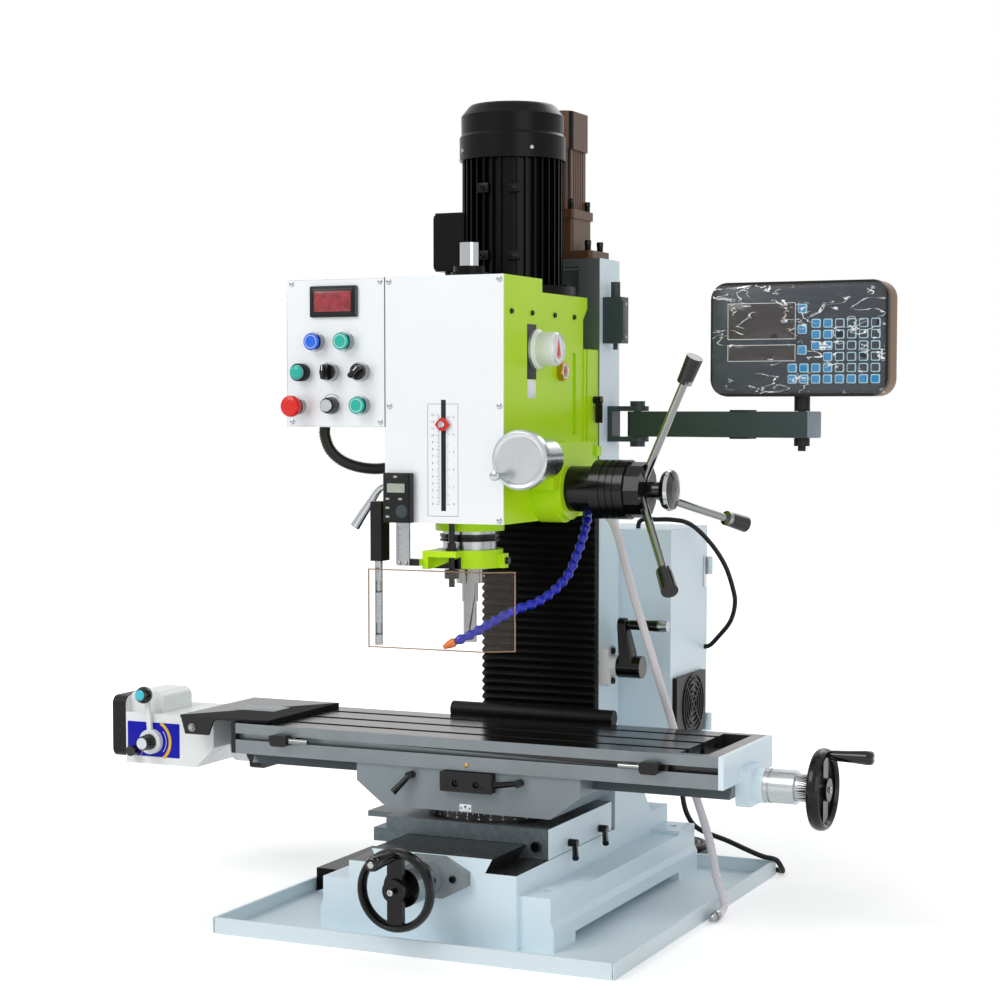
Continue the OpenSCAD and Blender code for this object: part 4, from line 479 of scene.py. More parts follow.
def all_finishes(c):
    """Every finish on the machine, by its real name."""
    # In each line: colour, roughness, metal, grain, its depth, mottle, its size and the shine
    # Enamel over filled cast iron: glossy, with a slight orange peel 2 to 3 mm across
    finish(LIME, c.head, 0.3, 0, 2.6, 0.035, 0.04, 120, 0.2)
    finish(PALE, c.casting, 0.36, 0, 3, 0.05, 0.03, 150, 0.4)
    finish(SHEET, c.tray, 0.4, 0, 1.8, 0.02, 0.04, 200, 0.4)
    finish(SATIN, "050507", 0.3, 0, 1.6, 0.03, 0.15, 70, 0.13)
    # Elevation motor: dark enamel whose brown tint is a painted reflection
    finish(GREY_ENAMEL_BROWN_REFLECTION, c.gear_motor, 0.4, 0, 2, 0.04, 0.1, 60, 0.3)
    finish(GLOSS, "060607", 0.2, 0, 2.2, 0.02, 0.15, 50, 0.3)
    finish(GREY, "364144", 0.42, 0, 1.4, 0.02, 0.08, 60, 0.3)
    finish(POWDER, "131517", 0.7, 0, 1.2, 0.05, 0.1, 40, 0.08)
    # Ground, milled and oiled iron: dull grey, with fine lines along the cut and a faint brown from oil
    finish(GROUND, "7E8588", 0.38, 0.7, 1.1, 0.012, 0.14, 45, rough_range=0.1, stretch=(0.05, 1, 1))
    # The table top's very dark colour is a painted reflection of the black way cover, over the iron's faint
    # brown
    finish(TABLE, "383431", 0.2, 0.85, 1.4, 0.01, 0.25, 38, rough_range=0.12, stretch=(0.04, 1, 0.3))
    finish(WAY, "3B3B3B", 0.3, 0.7, 1.4, 0.01, 0.25, 30, rough_range=0.12, stretch=(1, 0.05, 1))
    finish(MILLED, "838C91", 0.5, 0.45, 1.6, 0.03, 0.12, 50, rough_range=0.08)
    # Scraped iron: short strokes of the scraper, some 12 mm long, at a slant
    finish(SCRAPED, "5F696D", 0.42, 0.6, 2.2, 0.03, 0.4, 9, rough_range=0.16, stretch=(0.35, 1, 1))
    finish(CAST, "8A9195", 0.55, 0.35, 2.4, 0.08, 0.14, 40)
    # As cast floor of a groove: dark, with sand grains about 2 mm across
    finish(GROOVE, "1C1E20", 0.7, 0.1, 2, 0.25, 0.5, 3)
    # Turned and ground steel: bright, with rings too fine to see except as a broken highlight
    finish(STEEL, "9FA2A4", 0.24, 1.0, 0.7, 0.006, 0.06, 30, stretch=(0.15, 0.15, 1))
    finish(ALU, "BBBFC2", 0.26, 1.0, 0.7, 0.006, 0.05, 30, stretch=(1, 0.15, 0.15))
    finish(CHROME, "B2B5B8", 0.08, 1.0, 4, 0.002, 0.03, 40, rough_range=0.02)
    # Polished steel darkened far below real steel: a painted reflection of dark surroundings, for the
    # spindle, rods, spokes, collars and screws
    finish(DARK_REFLECTION_STEEL, "8B8D8C", 0.12, 1.0, 4, 0.002, 0.08, 30, rough_range=0.03)
    # Brushed aluminium sheet: hairlines along X about half a millimetre apart
    finish(BRUSHED, "E6EAED", 0.36, 0.4, 0.9, 0.006, 0.03, 90, rough_range=0.07, stretch=(0.02, 1, 1))
    # Phenolic grips are hard, black and highly polished; nylon and ABS have the mould's fine grain
    finish(PHENOLIC, "050505", 0.12, 0, 5, 0.01, 0.2, 20, 0.45, 0.03)
    finish(NYLON, "0D0E0F", 0.44, 0, 0.6, 0.012, 0.12, 20, 0.25)
    finish(ABS, c.feed, 0.3, 0, 0.8, 0.01, 0.02, 80, 0.4)
    finish(CAP, "7F8D9A", 0.4, 0, 0.8, 0.01, shine=0.3)
    finish(BRONZE, "7C6047", 0.5, 0.2, 1.6, 0.05, 0.25, 5, 0.3)
    finish(GREEN, "10AE9C", 0.3, 0, 0.8, 0.006, 0.05, 12)
    finish(BLUE, "0C63E0", 0.3, 0, 0.8, 0.006, 0.05, 12)
    finish(CYAN, "36C6D6", 0.25, 0, 0.8, 0.004)
    finish(RED, "D8221B", 0.28, 0, 1.2, 0.008, 0.08, 12, 0.4)
    finish(GOLD, "C99A3A", 0.2, 1.0, 1, 0.004, 0.1, 10)
    finish(BRASS, "B98F3C", 0.2, 1.0, 1, 0.004, 0.08, 8)
    # Printing inks and printed films
    finish(YELLOW, "F2C21A", 0.5, 0, 0.8, 0.002)
    finish(INK, "17181A", 0.55, 0, 0.6, 0.002)
    finish(WHITE, "F2F3F3", 0.5, 0, 0.6, 0.002, 0.02)
    finish(PANEL, c.feed_panel, 0.3, 0, 0.8, 0.004, 0.05, 60, 0.15)
    finish(KEY_PRINT, "B9E2F0", 0.35, 0, 0.8, 0.004)
    finish(KEY, "2381B6", 0.3, 0, 0.8, 0.004, shine=0.3)
    finish(CONSOLE_FILM, "1B2733", 0.25, 0, 0.8, 0.004, 0.2, 30, 0.25)
    # Rubber, vinyl and acetal: a soft sheen
    finish(RUBBER, "0A0A0B", 0.5, 0, 0.9, 0.03, 0.2, 40, 0.2)
    finish(SHEATH, "0A0A0B", 0.36, 0, 0.5, 0.008, 0.12, 30, 0.3)
    finish(LINK, c.coolant, 0.22, 0, 0.8, 0.006, 0.08, 20, 0.35, Subsurface__Weight=0.05)
    finish(NOZZLE, "F07A1C", 0.3, 0, 0.8, 0.006, 0.06, 20)
    # Glass and windows
    coat = {"Coat__Weight": 0.7, "Coat__Roughness": 0.04}
    finish(AMBER, "7A3A12", 0.08, 0, 4, 0.002, 0.3, 7, **coat)
    finish(WINDOW, "1C0D0F", 0.1, 0, 3, 0.002, 0.5, 14, 0.4)
    # Red display window: its own dark red, lightened to pink with strong blotches of painted reflection
    finish(RED_WINDOW, "93343A", 0.12, 0, 3, 0.002, 0.8, 9, 0.4)
    finish(CRYSTAL, "9CA594", 0.18, 0, 1, 0.002, 0.05, 10, **coat)
    # Clear polycarbonate 3 mm thick, seen mostly by its reflections and edges
    finish(CLEAR, "A89C92", 0.05, 0, 40, 0.01, 0.01, 60, rough_range=0.02, Alpha=0.05)
    finish(EDGE, "9A7252", 0.25, 0, 1, 0.004)
    wrinkled_film()
    braided_hose()


def wrinkled_film():
    """Clear packing film drawn over the display, creased a few centimetres long; painted white highlights lie
    along some creases.
    """
    MATERIALS[FILM], tree, spot = new_material(FILM)
    slant = {"Vector": spot, "Rotation": (0, radians(-24), 0), "Scale": (0.42, 1, 1.25)}
    slant = add(tree, "ShaderNodeMapping", slant).outputs["Vector"]
    fold = noise(tree, slant, 20, Distortion=1.1)
    # Painted highlight: white, nearly opaque streaks along each line where the folds turn over, in scattered
    # patches
    level = maths(tree, "ABSOLUTE", maths(tree, "SUBTRACT", fold, 0.5))
    line = ramp(tree, level, 1.0, 0.0, 0.006, 0.02)
    lit = ramp(tree, noise(tree, spot, 34), 0.0, 1.0, 0.52, 0.58)
    painted_glint = maths(tree, "MULTIPLY", line, lit)
    bump = add(tree, "ShaderNodeBump", {"Height": fold, "Strength": 1.0, "Distance": 3 * MM})
    surface(tree, Base__Color=(0.95, 0.96, 0.97, 1), Roughness=0.12, Normal=bump.outputs["Normal"],
        Alpha=ramp(tree, painted_glint, 0.05, 0.97), Specular__IOR__Level=0.9)


def braided_hose():
    """Clear vinyl hose with a white braid inside: a lattice of threads about 3 mm apart."""
    MATERIALS[BRAID], tree, spot = new_material(BRAID)
    threads = []
    for slant in (38, -38):
        turn = add(tree, "ShaderNodeMapping", {"Vector": spot, "Rotation": (0, radians(slant), 0)})
        wave = {"Vector": turn.outputs["Vector"], "Scale": 1 / 0.0095, "Distortion": 0.0}
        threads.append(add(tree, "ShaderNodeTexWave", wave, bands_direction="X").outputs["Fac"])
    lattice = maths(tree, "MAXIMUM", *threads)
    tint = blended(tree, ramp(tree, lattice, 0.0, 1.0, 0.8, 0.97), "DCD4DE", "FFFDFF")
    bump = add(tree, "ShaderNodeBump", {"Height": lattice, "Strength": 0.3, "Distance": 0.1 * MM})
    surface(tree, Base__Color=tint, Roughness=0.22, Normal=bump.outputs["Normal"], Alpha=0.92)


def paint(node, name, *regions):
    """Gives a node its finish; a region is a finish and a test of a face's centre in mm and its normal."""
    obj = NODES[node]
    obj.data.materials.clear()
    for each in (name, *[region[0] for region in regions]):
        obj.data.materials.append(MATERIALS[each])
    for face in obj.data.polygons:
        centre = face.center / MM
        face.material_index = 0
        for k, region in enumerate(regions):
            if region[1](centre, face.normal):
                face.material_index = k + 1


def about_shaft(low, high):
    """Test for faces whose distance from the quill feed's shaft lies between two radii."""
    return lambda c, n: low <= hypot(c.y - FEED_HUB[0], c.z - FEED_HUB[1]) <= high


class MillOperator:
    """What every step shares: it makes its pieces from the scene's sizes."""

    bl_options = {"REGISTER", "UNDO"}

    def execute(self, context):
        self.make(context.scene)
        return {"FINISHED"}


PLAIN = {
    GLOSS: ["saddle_lock_front", "saddle_lock_rear", "table_lock_left", "table_lock_right",
        "head_lock_lever"],
    PHENOLIC: ["y_wheel_handle", "x_wheel_handle", "feed_speed_knob", "rapid_button", "depth_stop_knob",
        "feed_clutch_knob"],
    BRUSHED: ["front_plate"],
    SATIN: ["spindle_motor"],
    NYLON: ["quill_scale", "dro_console"],
    STEEL: ["quill"],
    DARK_REFLECTION_STEEL: ["spindle"],
    ALU: ["fine_feed_dial"],
    CHROME: ["quill_lock_lever"],
    GREY: ["dro_arm"],
}
# X and Z of what stands on the control panel
UP, DOWN_KEY = (-209.9, 876.5), (-160.4, 876.5)
MODE, PUMP, LAMP = (-185.1, 831.4), (-134, 831.4), (-235.1, 831.4)
START, E_STOP, POT = (-134, 781.9), (-242, 780.8), (-185.1, 781.9)
SCREW_GRID = ((42.4, 33.6), (68, 25.6))  # elevation motor's screws, on its lid and on its flange


class MILL_OT_materials(MillOperator, bpy.types.Operator):
    """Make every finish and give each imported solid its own"""

    bl_idname = "mill.materials"
    bl_label = "Finishes"

    def make(self, scene):
        all_finishes(scene.mill_colours)
        for name, nodes in PLAIN.items():
            for node in nodes:
                paint(node, name)

        def bolt_face(c, n):
            near = [hypot(abs(c.x) - x, abs(c.y - LIFT_Y) - y) for x, y in SCREW_GRID]
            return near[0] < 5.2 or near[1] < 5.6

        def quill_black(c, n):
            return hypot(c.x, c.y + 62) <= 9.6 or c.x > 61 or (c.x < -43 and c.z < 557 and c.y > -84)

        ways = lambda c, n: 109 < c.z < 132 and abs(c.x) < 140 and c.y < 250 and abs(n.y) < 0.5
        drum = lambda c, n: 157 < c.z < 171.5 and abs(n.z) < 0.5 and hypot(c.x, c.y - SWIVEL_Y) > 95
        inside = lambda c, n: c.z > 262 and n.z <= 0.9 and -18 < c.y < 208 and abs(c.x) < 398
        groove = lambda c, n: -19.5 < c.y < -8 and 240 < c.z < 280 and abs(c.x) < 399
        # Inside faces of the column's channel take the black rubber finish: painted shade of the deep opening
        shaded_channel = lambda c, n: abs(c.x) < 66 and 268.2 < c.y < 300 and c.z < 1014
        bearing = lambda c, n: c.x > -500 and abs(c.z - X_SHAFT[1]) < 26 and abs(c.y - X_SHAFT[0]) < 26
        spots = (UP, DOWN_KEY, START, MODE, PUMP, E_STOP, POT)
        collars = lambda c, n: c.y < -89.2 and any(hypot(c.x - x, c.z - z) < 15 for x, z in spots)
        pivot = lambda c, n: hypot(c.x + 110, c.y + 84) < 6.5
        edge = lambda c, n: c.x > 104 or c.y < -94.05 and (abs(n.z) > 0.9 or n.x < -0.5)
        paint("chip_tray", SHEET, (SATIN, lambda c, n: c.z > 26))
        paint("base_casting", PALE, (WAY, ways), (CAST, lambda c, n: c.y < -132.5))
        paint("column", PALE, (GROUND, lambda c, n: n.y < -0.9 and c.z > 230),
            (CAST, lambda c, n: c.z > 1014),
            (RUBBER, shaded_channel))
        paint("column_fittings", GREY, (ABS, lambda c, n: 330 < c.z < 402 and c.y > 250),
            (RUBBER, lambda c, n: c.z < 305))
        paint("elevation_motor", GREY_ENAMEL_BROWN_REFLECTION, (SATIN, bolt_face))
        paint("cabinet", PALE, (NYLON, lambda c, n: c.z < 164.5 or c.x > 186.4))
        paint("cabinet_door", PALE, (NYLON, lambda c, n: c.y > 547 and c.x < 150))
        paint("elevation_crank", GLOSS, (STEEL, lambda c, n: c.x > 196))
        paint("table_stop_left", GLOSS, (DARK_REFLECTION_STEEL, lambda c, n: c.x > -298.5 and c.y < -21))
        paint("table_stop_right", GLOSS, (DARK_REFLECTION_STEEL, lambda c, n: c.x < 284.5 and c.y < -21))
        paint("y_handwheel", GLOSS, (STEEL, lambda c, n: c.y > -226))
        paint("x_handwheel", GLOSS, (ALU, lambda c, n: c.x < 493))
        paint("saddle", SCRAPED, (GROUND, lambda c, n: n.z > 0.9),
            (PALE, lambda c, n: abs(n.x) > 0.9 and abs(c.x) > 130), (GLOSS, drum))
        paint("apron", MILLED, (GROUND, lambda c, n: n.z > 0.9), (GLOSS, lambda c, n: c.y < -15.3))
        paint("table", GROUND, (TABLE, lambda c, n: n.z > 0.9 and c.z > 282), (WAY, inside), (GROOVE, groove),
            (CAST, lambda c, n: n.z < -0.9 and c.z < 236))
        paint("end_housings", PALE, (POWDER, lambda c, n: c.x < -329 and (c.z > 283.2 or c.y < -20.2)),
            (GLOSS, lambda c, n: c.x < -399))
        paint("feed_box", ABS, (NYLON, lambda c, n: c.x < -634.2), (ALU, bearing))
        paint("feed_lever", ABS, (PHENOLIC, lambda c, n: c.z > 290))
        paint("head_slide", LIME, (GROUND, lambda c, n: c.y > 267.7))
        paint("head_casting", LIME, (GOLD, lambda c, n: c.x > 96.2 and c.z > 815),
            (STEEL, lambda c, n: hypot(c.x, c.y) < 42 and c.z > 596))
        paint("head_cover", LIME, (SATIN, lambda c, n: c.z > 970.1), (CHROME, lambda c, n: c.z > 988.2))
        paint("control_box", BRUSHED, (DARK_REFLECTION_STEEL, collars))
        paint("quill_collar", LIME, (GLOSS, quill_black), (STEEL, lambda c, n: c.x < -57 and c.y < -83),
            (RED, lambda c, n: c.y < -70 and 748 < c.z < 760))
        paint("feed_hub", GLOSS, (DARK_REFLECTION_STEEL, about_shaft(45, 161)), (PHENOLIC, about_shaft(161, 300)))
        paint("guard_shield", CLEAR, (STEEL, pivot), (EDGE, edge))


# The routes that part.scad gives the cords
MAINS_ROUTE = [(150, 520, 153), (151, 520, 140), (153, 519, 120), (160, 515, 96), (174, 508, 77),
    (190, 502, 68), (209, 500, 62), (239, 499, 54), (268, 498, 44), (290, 499, 36), (306, 501, 31),
    (317, 503, 29.6), (325, 506, 26), (330, 511, 16), (331, 519, 7), (326, 528, 4.6), (312, 534, 4.6),
    (290, 537, 4.6), (250, 536, 4.6), (215, 534, 4.6), (187, 539, 4.6), (169, 551, 4.6), (161, 572, 4.6),
    (160, 592, 4.6), (160, 611, 4.6)]
SUPPLY_ROUTE = [(108, 241, 639.6), (109, 241, 627), (119, 240, 615), (134, 240, 600), (147, 236, 571),
    (163, 226, 529), (180, 215, 486), (195, 208, 450), (211, 206, 404), (225, 212, 353), (235, 234, 295),
    (246, 246, 244), (264, 240, 205), (276, 240, 172), (289, 240, 135), (300, 237, 104), (307, 232, 80),
    (314, 225, 58), (321, 220, 42), (328, 216, 29), (332, 212, 16), (333, 203, 9), (334, 190, 8),
    (335, 170, 8)]
LOOP_ROUTE = [(116, 400, 581), (118, 400, 592), (130, 400, 597), (145, 400, 596), (173, 405, 596),
    (201, 415, 589), (228, 435, 559), (246, 460, 520), (254, 480, 478), (253, 492, 452), (238, 512, 421),
    (212, 526, 393), (196, 532, 378), (186, 532, 375)]
COOLANT_ROUTE = [(104.8, 140, 640), (121, 139, 640), (138, 124, 634), (149, 102, 618), (152, 82, 594),
    (148, 67, 565), (138, 52, 530), (121, 33, 505), (103, 14, 490), (83, -6, 481), (60, -30, 467),
    (36, -59, 449), (14, -81, 436)]
NOZZLE_ROUTE = [(14, -81, 436), (11, -82.5, 434.7), (6, -85, 432), (2, -86.4, 429.8), (-1, -87.5, 428)]
CONDUIT_ROUTE = [(-219, -50, 749.6), (-219, -50, 736), (-213, -46, 716), (-199, -38, 700),
    (-179, -26, 690), (-156, -12, 686), (-132, -2, 688), (-112, 2, 690), (-96.3, 2, 690)]
MAINS_D, SUPPLY_D = 9, 13
COIL = Vector((100, 620, 4.6))
COIL_R, COIL_PITCH, COIL_TURNS = 60, 9.8, 3


def coil_points():
    """The spare length: two layers of loops, in and out again."""
    last = 2 * COIL_TURNS + 0.5
    out = []
    for i in range(int(last * 48) + 1):
        t = i / 48
        r = COIL_R - COIL_PITCH * min(t, last - t)
        rise = COIL_PITCH * min(1, max(0, (t - COIL_TURNS) * 2))
        out.append(COIL + Vector((r * cos(2 * pi * t), r * sin(2 * pi * t), rise)))
    return out + [COIL + Vector((-COIL_R, -MAINS_D, COIL_PITCH))]


class MILL_OT_cords(MillOperator, bpy.types.Operator):
    """Lay the mains cord, the supply hose and the leads"""

    bl_idname = "mill.cords"
    bl_label = "Cords and hoses"

    def make(self, scene):
        path = at_even_steps(smooth_path(MAINS_ROUTE, 6) + coil_points(), 5)
        cord = Piece("mains_flex").add(swept(path, MAINS_D / 2 - 0.1, 14), SHEATH)
        cord = cord.done("frame", "cord_black", "mains_cord", "mains_coil")
        # Ribbed strain relief below the cabinet's gland
        sleeve = at_even_steps(smooth_path(MAINS_ROUTE[:4], 2), 1.5)[:21]
        radii = [7.6 - 0.12 * i - (0.9 if i % 3 == 2 and i < 19 else 0) for i in range(len(sleeve))]
        relief = Piece("mains_relief").add(swept(sleeve, radii, 20), NYLON).done("frame", "cord_black")
        # Moulded plug with a grip waist and two round pins
        body = [(4.4, 0), (5.4, 1), (6.4, 9), (7.6, 17), (9, 22), (12.6, 26), (13.4, 28), (13.4, 37.4),
            (12.4, 39.6), (0, 40)]
        at = place(*path[-1], FRONT)
        plug = Piece("mains_plug").add(turned(body, 40), NYLON, at)
        for x in (-9.5, 9.5):
            pin = at @ place(x, 0, 39.4)
            plug.add(turned([(2.4, 0), (2.4, 7)], 24), NYLON, pin)
            plug.add(turned([(2.3, 7), (2.3, 18), (1.6, 19.4), (0, 19.6)], 24), CHROME, pin)
        plug = plug.done("frame", "cord_black")
        path = at_even_steps(smooth_path(SUPPLY_ROUTE, 6), 5)
        ends = ("slide", (0.3, 0.24, 0.03), (0.108, 0.241, 0.64))
        hose = Piece("clear_hose").add(swept(path, SUPPLY_D / 2 - 0.1, 20), BRAID)
        hose = hose.done("frame", "hose_clear", "supply_hose", stretch=ends)
        # Turned tail that screws on the pump, with three barbs
        tail = [(0, 0), (7.8, 0), (7.8, 2), (7.4, 3), (7.4, 9.4), (7.8, 10.4), (7.8, 11), (4.6, 11),
            (5.9, 15), (4.6, 18.6), (5.9, 22.5), (4.6, 26), (4.2, 30), (0, 30)]
        fitting = Piece("hose_tail").add(turned(tail, 32), STEEL, *path[-1], FRONT).done("frame", "steel")
        path = at_even_steps(smooth_path(LOOP_ROUTE, 6), 5)
        Piece("switch_lead").add(swept(path, 3.9, 14), SHEATH).done("frame", "cord_black", "loop_cable")
        path = at_even_steps(smooth_path(CONDUIT_ROUTE, 3), 2.1)
        ribs = swept(path, [8.9 if i % 2 == 0 else 7.7 for i in range(len(path))], 20)
        Piece("ribbed_conduit").add(ribs, SHEATH).done("head", "cord_black", "conduit", sharp=80)


class MILL_OT_coolant(MillOperator, bpy.types.Operator):
    """Thread the jointed coolant hose with its nozzle and valve"""

    bl_idname = "mill.coolant"
    bl_label = "Coolant hose"

    def make(self, scene):
        # One link: a collar over a ball, drawn in between
        link = (5.2, 6.6, 7.4, 7.5, 7.0, 6.2, 5.4, 5.0)
        path = smooth_path(COOLANT_ROUTE, 2)
        path = at_even_steps(path, length_of(path) / (scene.mill_sizes.beads * len(link)))
        radii = [link[i % len(link)] for i in range(len(path))]
        hose = Piece("coolant_links").add(swept(path, radii, 18), LINK)
        hose.add(swept([Vector(p) for p in NOZZLE_ROUTE], [6.6, 6.7, 5.8, 4.2, 3.4], 18), NOZZLE)
        hose.add(turned([(9, 0), (9, 6), (7, 9), (6, 14)], 24), NOZZLE, 105, 140, 640, RIGHT)
        hose.add(slab(6, 22, 4, 2), NOZZLE, 110, 140, 652, RIGHT)
        hose.done("head", "coolant_blue", "coolant_hose", sharp=60)


class MILL_OT_front_plate(MillOperator, bpy.types.Operator):
    """Print the depth scale and set the screws and the pointer of the front plate"""

    bl_idname = "mill.front_plate"
    bl_label = "Front plate"

    def make(self, scene):
        s = scene.mill_sizes
        line, digit, zero = s.line / MM, s.digit / MM * 0.72, 638
        plate = Piece("front_plate_print")
        for x, z in ((-89, 963), (89.5, 963), (-88, 781), (89.5, 781), (89.5, 616)):
            plate.add(pan_screw(s.screw / MM, 2.6), CHROME, x, PLATE_Y, z, FRONT, 20)
        # Frame of the depth scale, then centimetres on the left and inches on the right
        for z in (784, 620.5):
            plate.add(mark(49, line), INK, -1, PLATE_Y, z, FRONT)
        for x in (-25.5, 23.5):
            plate.add(mark(line, 164), INK, x, PLATE_Y, 702, FRONT)
        for side, root, step, count, whole, lengths, figure_x in (
            (-1, -6, 2, 66, 5, {5: 6, 1: 3.2}, -17.5),
            (1, 5, 25.4 / 8, 41, 8, {8: 6, 4: 4.2, 1: 2.6}, 16.5),
        ):
            for i in range(count):
                z = zero + i * step
                w = next(w for every, w in lengths.items() if i % every == 0)
                plate.add(mark(w, 0.45), INK, root + side * w / 2, PLATE_Y, z, FRONT)
                if i % whole == 0:
                    plate.add(figures(str(i // whole), digit), INK, figure_x, PLATE_Y - 0.14, z, FRONT)
        # Black plate just behind the slot: painted shade of the slot's depth
        plate.add(slab(8, 161, 1.2, 3.9, 0.1), NYLON, 0, PLATE_Y + 1.9, 709, FRONT)
        plate.done("head", "panel_alu")
        pointer = Piece("depth_pointer")
        diamond = [(0, 10), (-4, 9), (-11, 0.8), (-11, -0.8), (-4, -9), (4, -9), (11, -0.8), (11, 0.8),
            (4, 9)]
        pointer.add(lifted(diamond, (0, 1), (1.6, 1), (2, 0.96)), RED, 0, -93, 754, FRONT)
        pointer.add(turned([(5, 0), (5, 2.4), (3.4, 4), (0, 4.4)], 28), CHROME, 0, -95, 754, FRONT)
        pointer.done("quill", "button_red")


class MILL_OT_control_panel(MillOperator, bpy.types.Operator):
    """Dress the control panel: display, buttons, selectors and the speed knob"""

    bl_idname = "mill.control_panel"
    bl_label = "Control panel"

    def make(self, scene):
        def on_panel(spot, turn=0):
            return place(spot[0], PLATE_Y, spot[1], FRONT, turn)

        panel = Piece("panel_trim")
        for x in (-253, -103.5):
            for z in (757.5, 963.5):
                panel.add(pan_screw(scene.mill_sizes.screw / MM * 0.9, 2.4), CHROME, on_panel((x, z), 35))
        panel.add(slab(1.6, 220, 0.2, 0.4, 0.05), INK, on_panel((-95.8, 860)))
        # Thin turned aluminium strips along the panel's top, bottom and left edges: painted edge shade that
        # outlines the plate
        for x, z, w, h in ((-179.5, 751.2, 166, 0.8), (-179.5, 968.8, 166, 0.8), (-261.2, 860, 0.8, 217)):
            panel.add(slab(w, h, 0.2, 0.3, 0.05), ALU, on_panel((x, z)))
        # Display: a frame, its glass and the dark red window, lightened to pink and blotched as a painted
        # reflection
        for (w, h, t, r, edge), name, rise in (
            ((78.4, 46.4, 5.4, 2.4, 1), NYLON, 0),
            ((70, 38, 0.8, 2, 0.3), GLOSS, 5.4),
            ((62, 30, 0.3, 1, 0.1), RED_WINDOW, 6.2),
        ):
            panel.add(slab(w, h, t, r, edge), name, -180.2, PLATE_Y - rise, 935.9, FRONT)
        knurl = [(14.2, 0), (14.2, 1.4), (13.2, 2), (13.2, 9), (14, 10), (13.6, 12.6), (11.5, 12.8),
            (11.5, 0)]
        for spot in (UP, DOWN_KEY, START, MODE, PUMP):
            panel.add(turned(knurl, 40, True), CHROME, on_panel(spot))
        bezel = [(13.4, 0), (13.4, 15), (12.6, 16.4), (11.2, 16.4), (11.2, 0)]
        panel.add(turned(bezel, 40, True), NYLON, on_panel(LAMP))
        lamp = [(11, 14), (11, 17), (10.4, 20), (8, 22), (4, 23), (0, 23.2)]
        panel.add(turned(lamp, 40), GREEN, on_panel(LAMP))
        # Printed arc over the speed knob
        arc = [(15.5 * cos(radians(a)), 15.5 * sin(radians(a))) for a in range(40, 141, 5)]
        for (ax, az), (bx, bz) in zip(arc, arc[1:]):
            middle = (POT[0] + (ax + bx) / 2, POT[1] + 1.6 + (az + bz) / 2)
            turn = degrees(atan2(bz - az, bx - ax))
            panel.add(mark(hypot(bx - ax, bz - az) + 0.3, 0.7), INK, on_panel(middle, turn))
        panel.done("head", "panel_alu")
        cap = [(4.6, -6), (4.6, 8.4), (10.8, 8.4), (10.8, 17), (12.5, 17.2), (12.6, 19), (11.8, 19.8),
            (9.2, 19.9), (7.6, 19.4), (0, 19.2)]
        for name, spot, tint, slot in (
            ("up", UP, BLUE, "grip_black"),
            ("down", DOWN_KEY, GREEN, "button_green"),
            ("start", START, GREEN, "button_green"),
        ):
            button = Piece(name + "_cap").add(turned(cap, 40), tint, on_panel(spot))
            button.add(turned([(9, 19.8), (9.5, 20.2), (10, 19.8)], 40, True), ABS, on_panel(spot))
            button.done(name + "_button", slot, name + "_button")
        mushroom = [(5, -8), (5, 14), (9, 15), (10, 18), (15.6, 19), (16.2, 22), (16, 26), (14.4, 29),
            (11, 30.6), (6, 31), (0, 30.8)]
        stop = Piece("stop_mushroom").add(turned(mushroom), RED, on_panel(E_STOP))
        stop.done("e_stop", "button_red", "e_stop")
        boss = [(4.6, -6), (4.6, 13.2), (12.4, 13.2), (12.4, 16), (11.6, 17.4), (0, 17.6)]
        levels = ((17, 9.6, 23.4), (24, 9, 23), (29, 7.6, 22), (30.5, 5.8, 20.4))
        grip = loft([[(x, y, z) for x, y in round_rect(w, h, w * 0.45)] for z, w, h in levels])
        for name, spot, turn in (("mode", MODE, 0), ("pump", PUMP, -45)):
            at = on_panel(spot, turn)
            knob = Piece(name + "_handle").add(turned(boss, 40), PHENOLIC, at).add(grip, PHENOLIC, at)
            knob.add(slab(1.4, 8.5, 0.4, 0.6, 0.1), WHITE, at @ place(0, 6, 30.4))
            knob.done(name + "_selector", "grip_black", name + "_selector")
        at = on_panel(POT)
        pot = Piece("speed_knob").add(fluted(12.2, 0.7, ((0.6, 1), (13, 0.94), (16, 0.9))), PHENOLIC, at)
        pot.add(turned([(9.4, 15), (9.4, 18.6), (8.6, 19.6), (0, 19.4)], 40), ALU, at)
        pot.add(turned([(4.6, -8), (4.6, 1), (4, 2)], 24), NYLON, at)
        pot.done("speed_pot", "grip_black", "speed_pot")


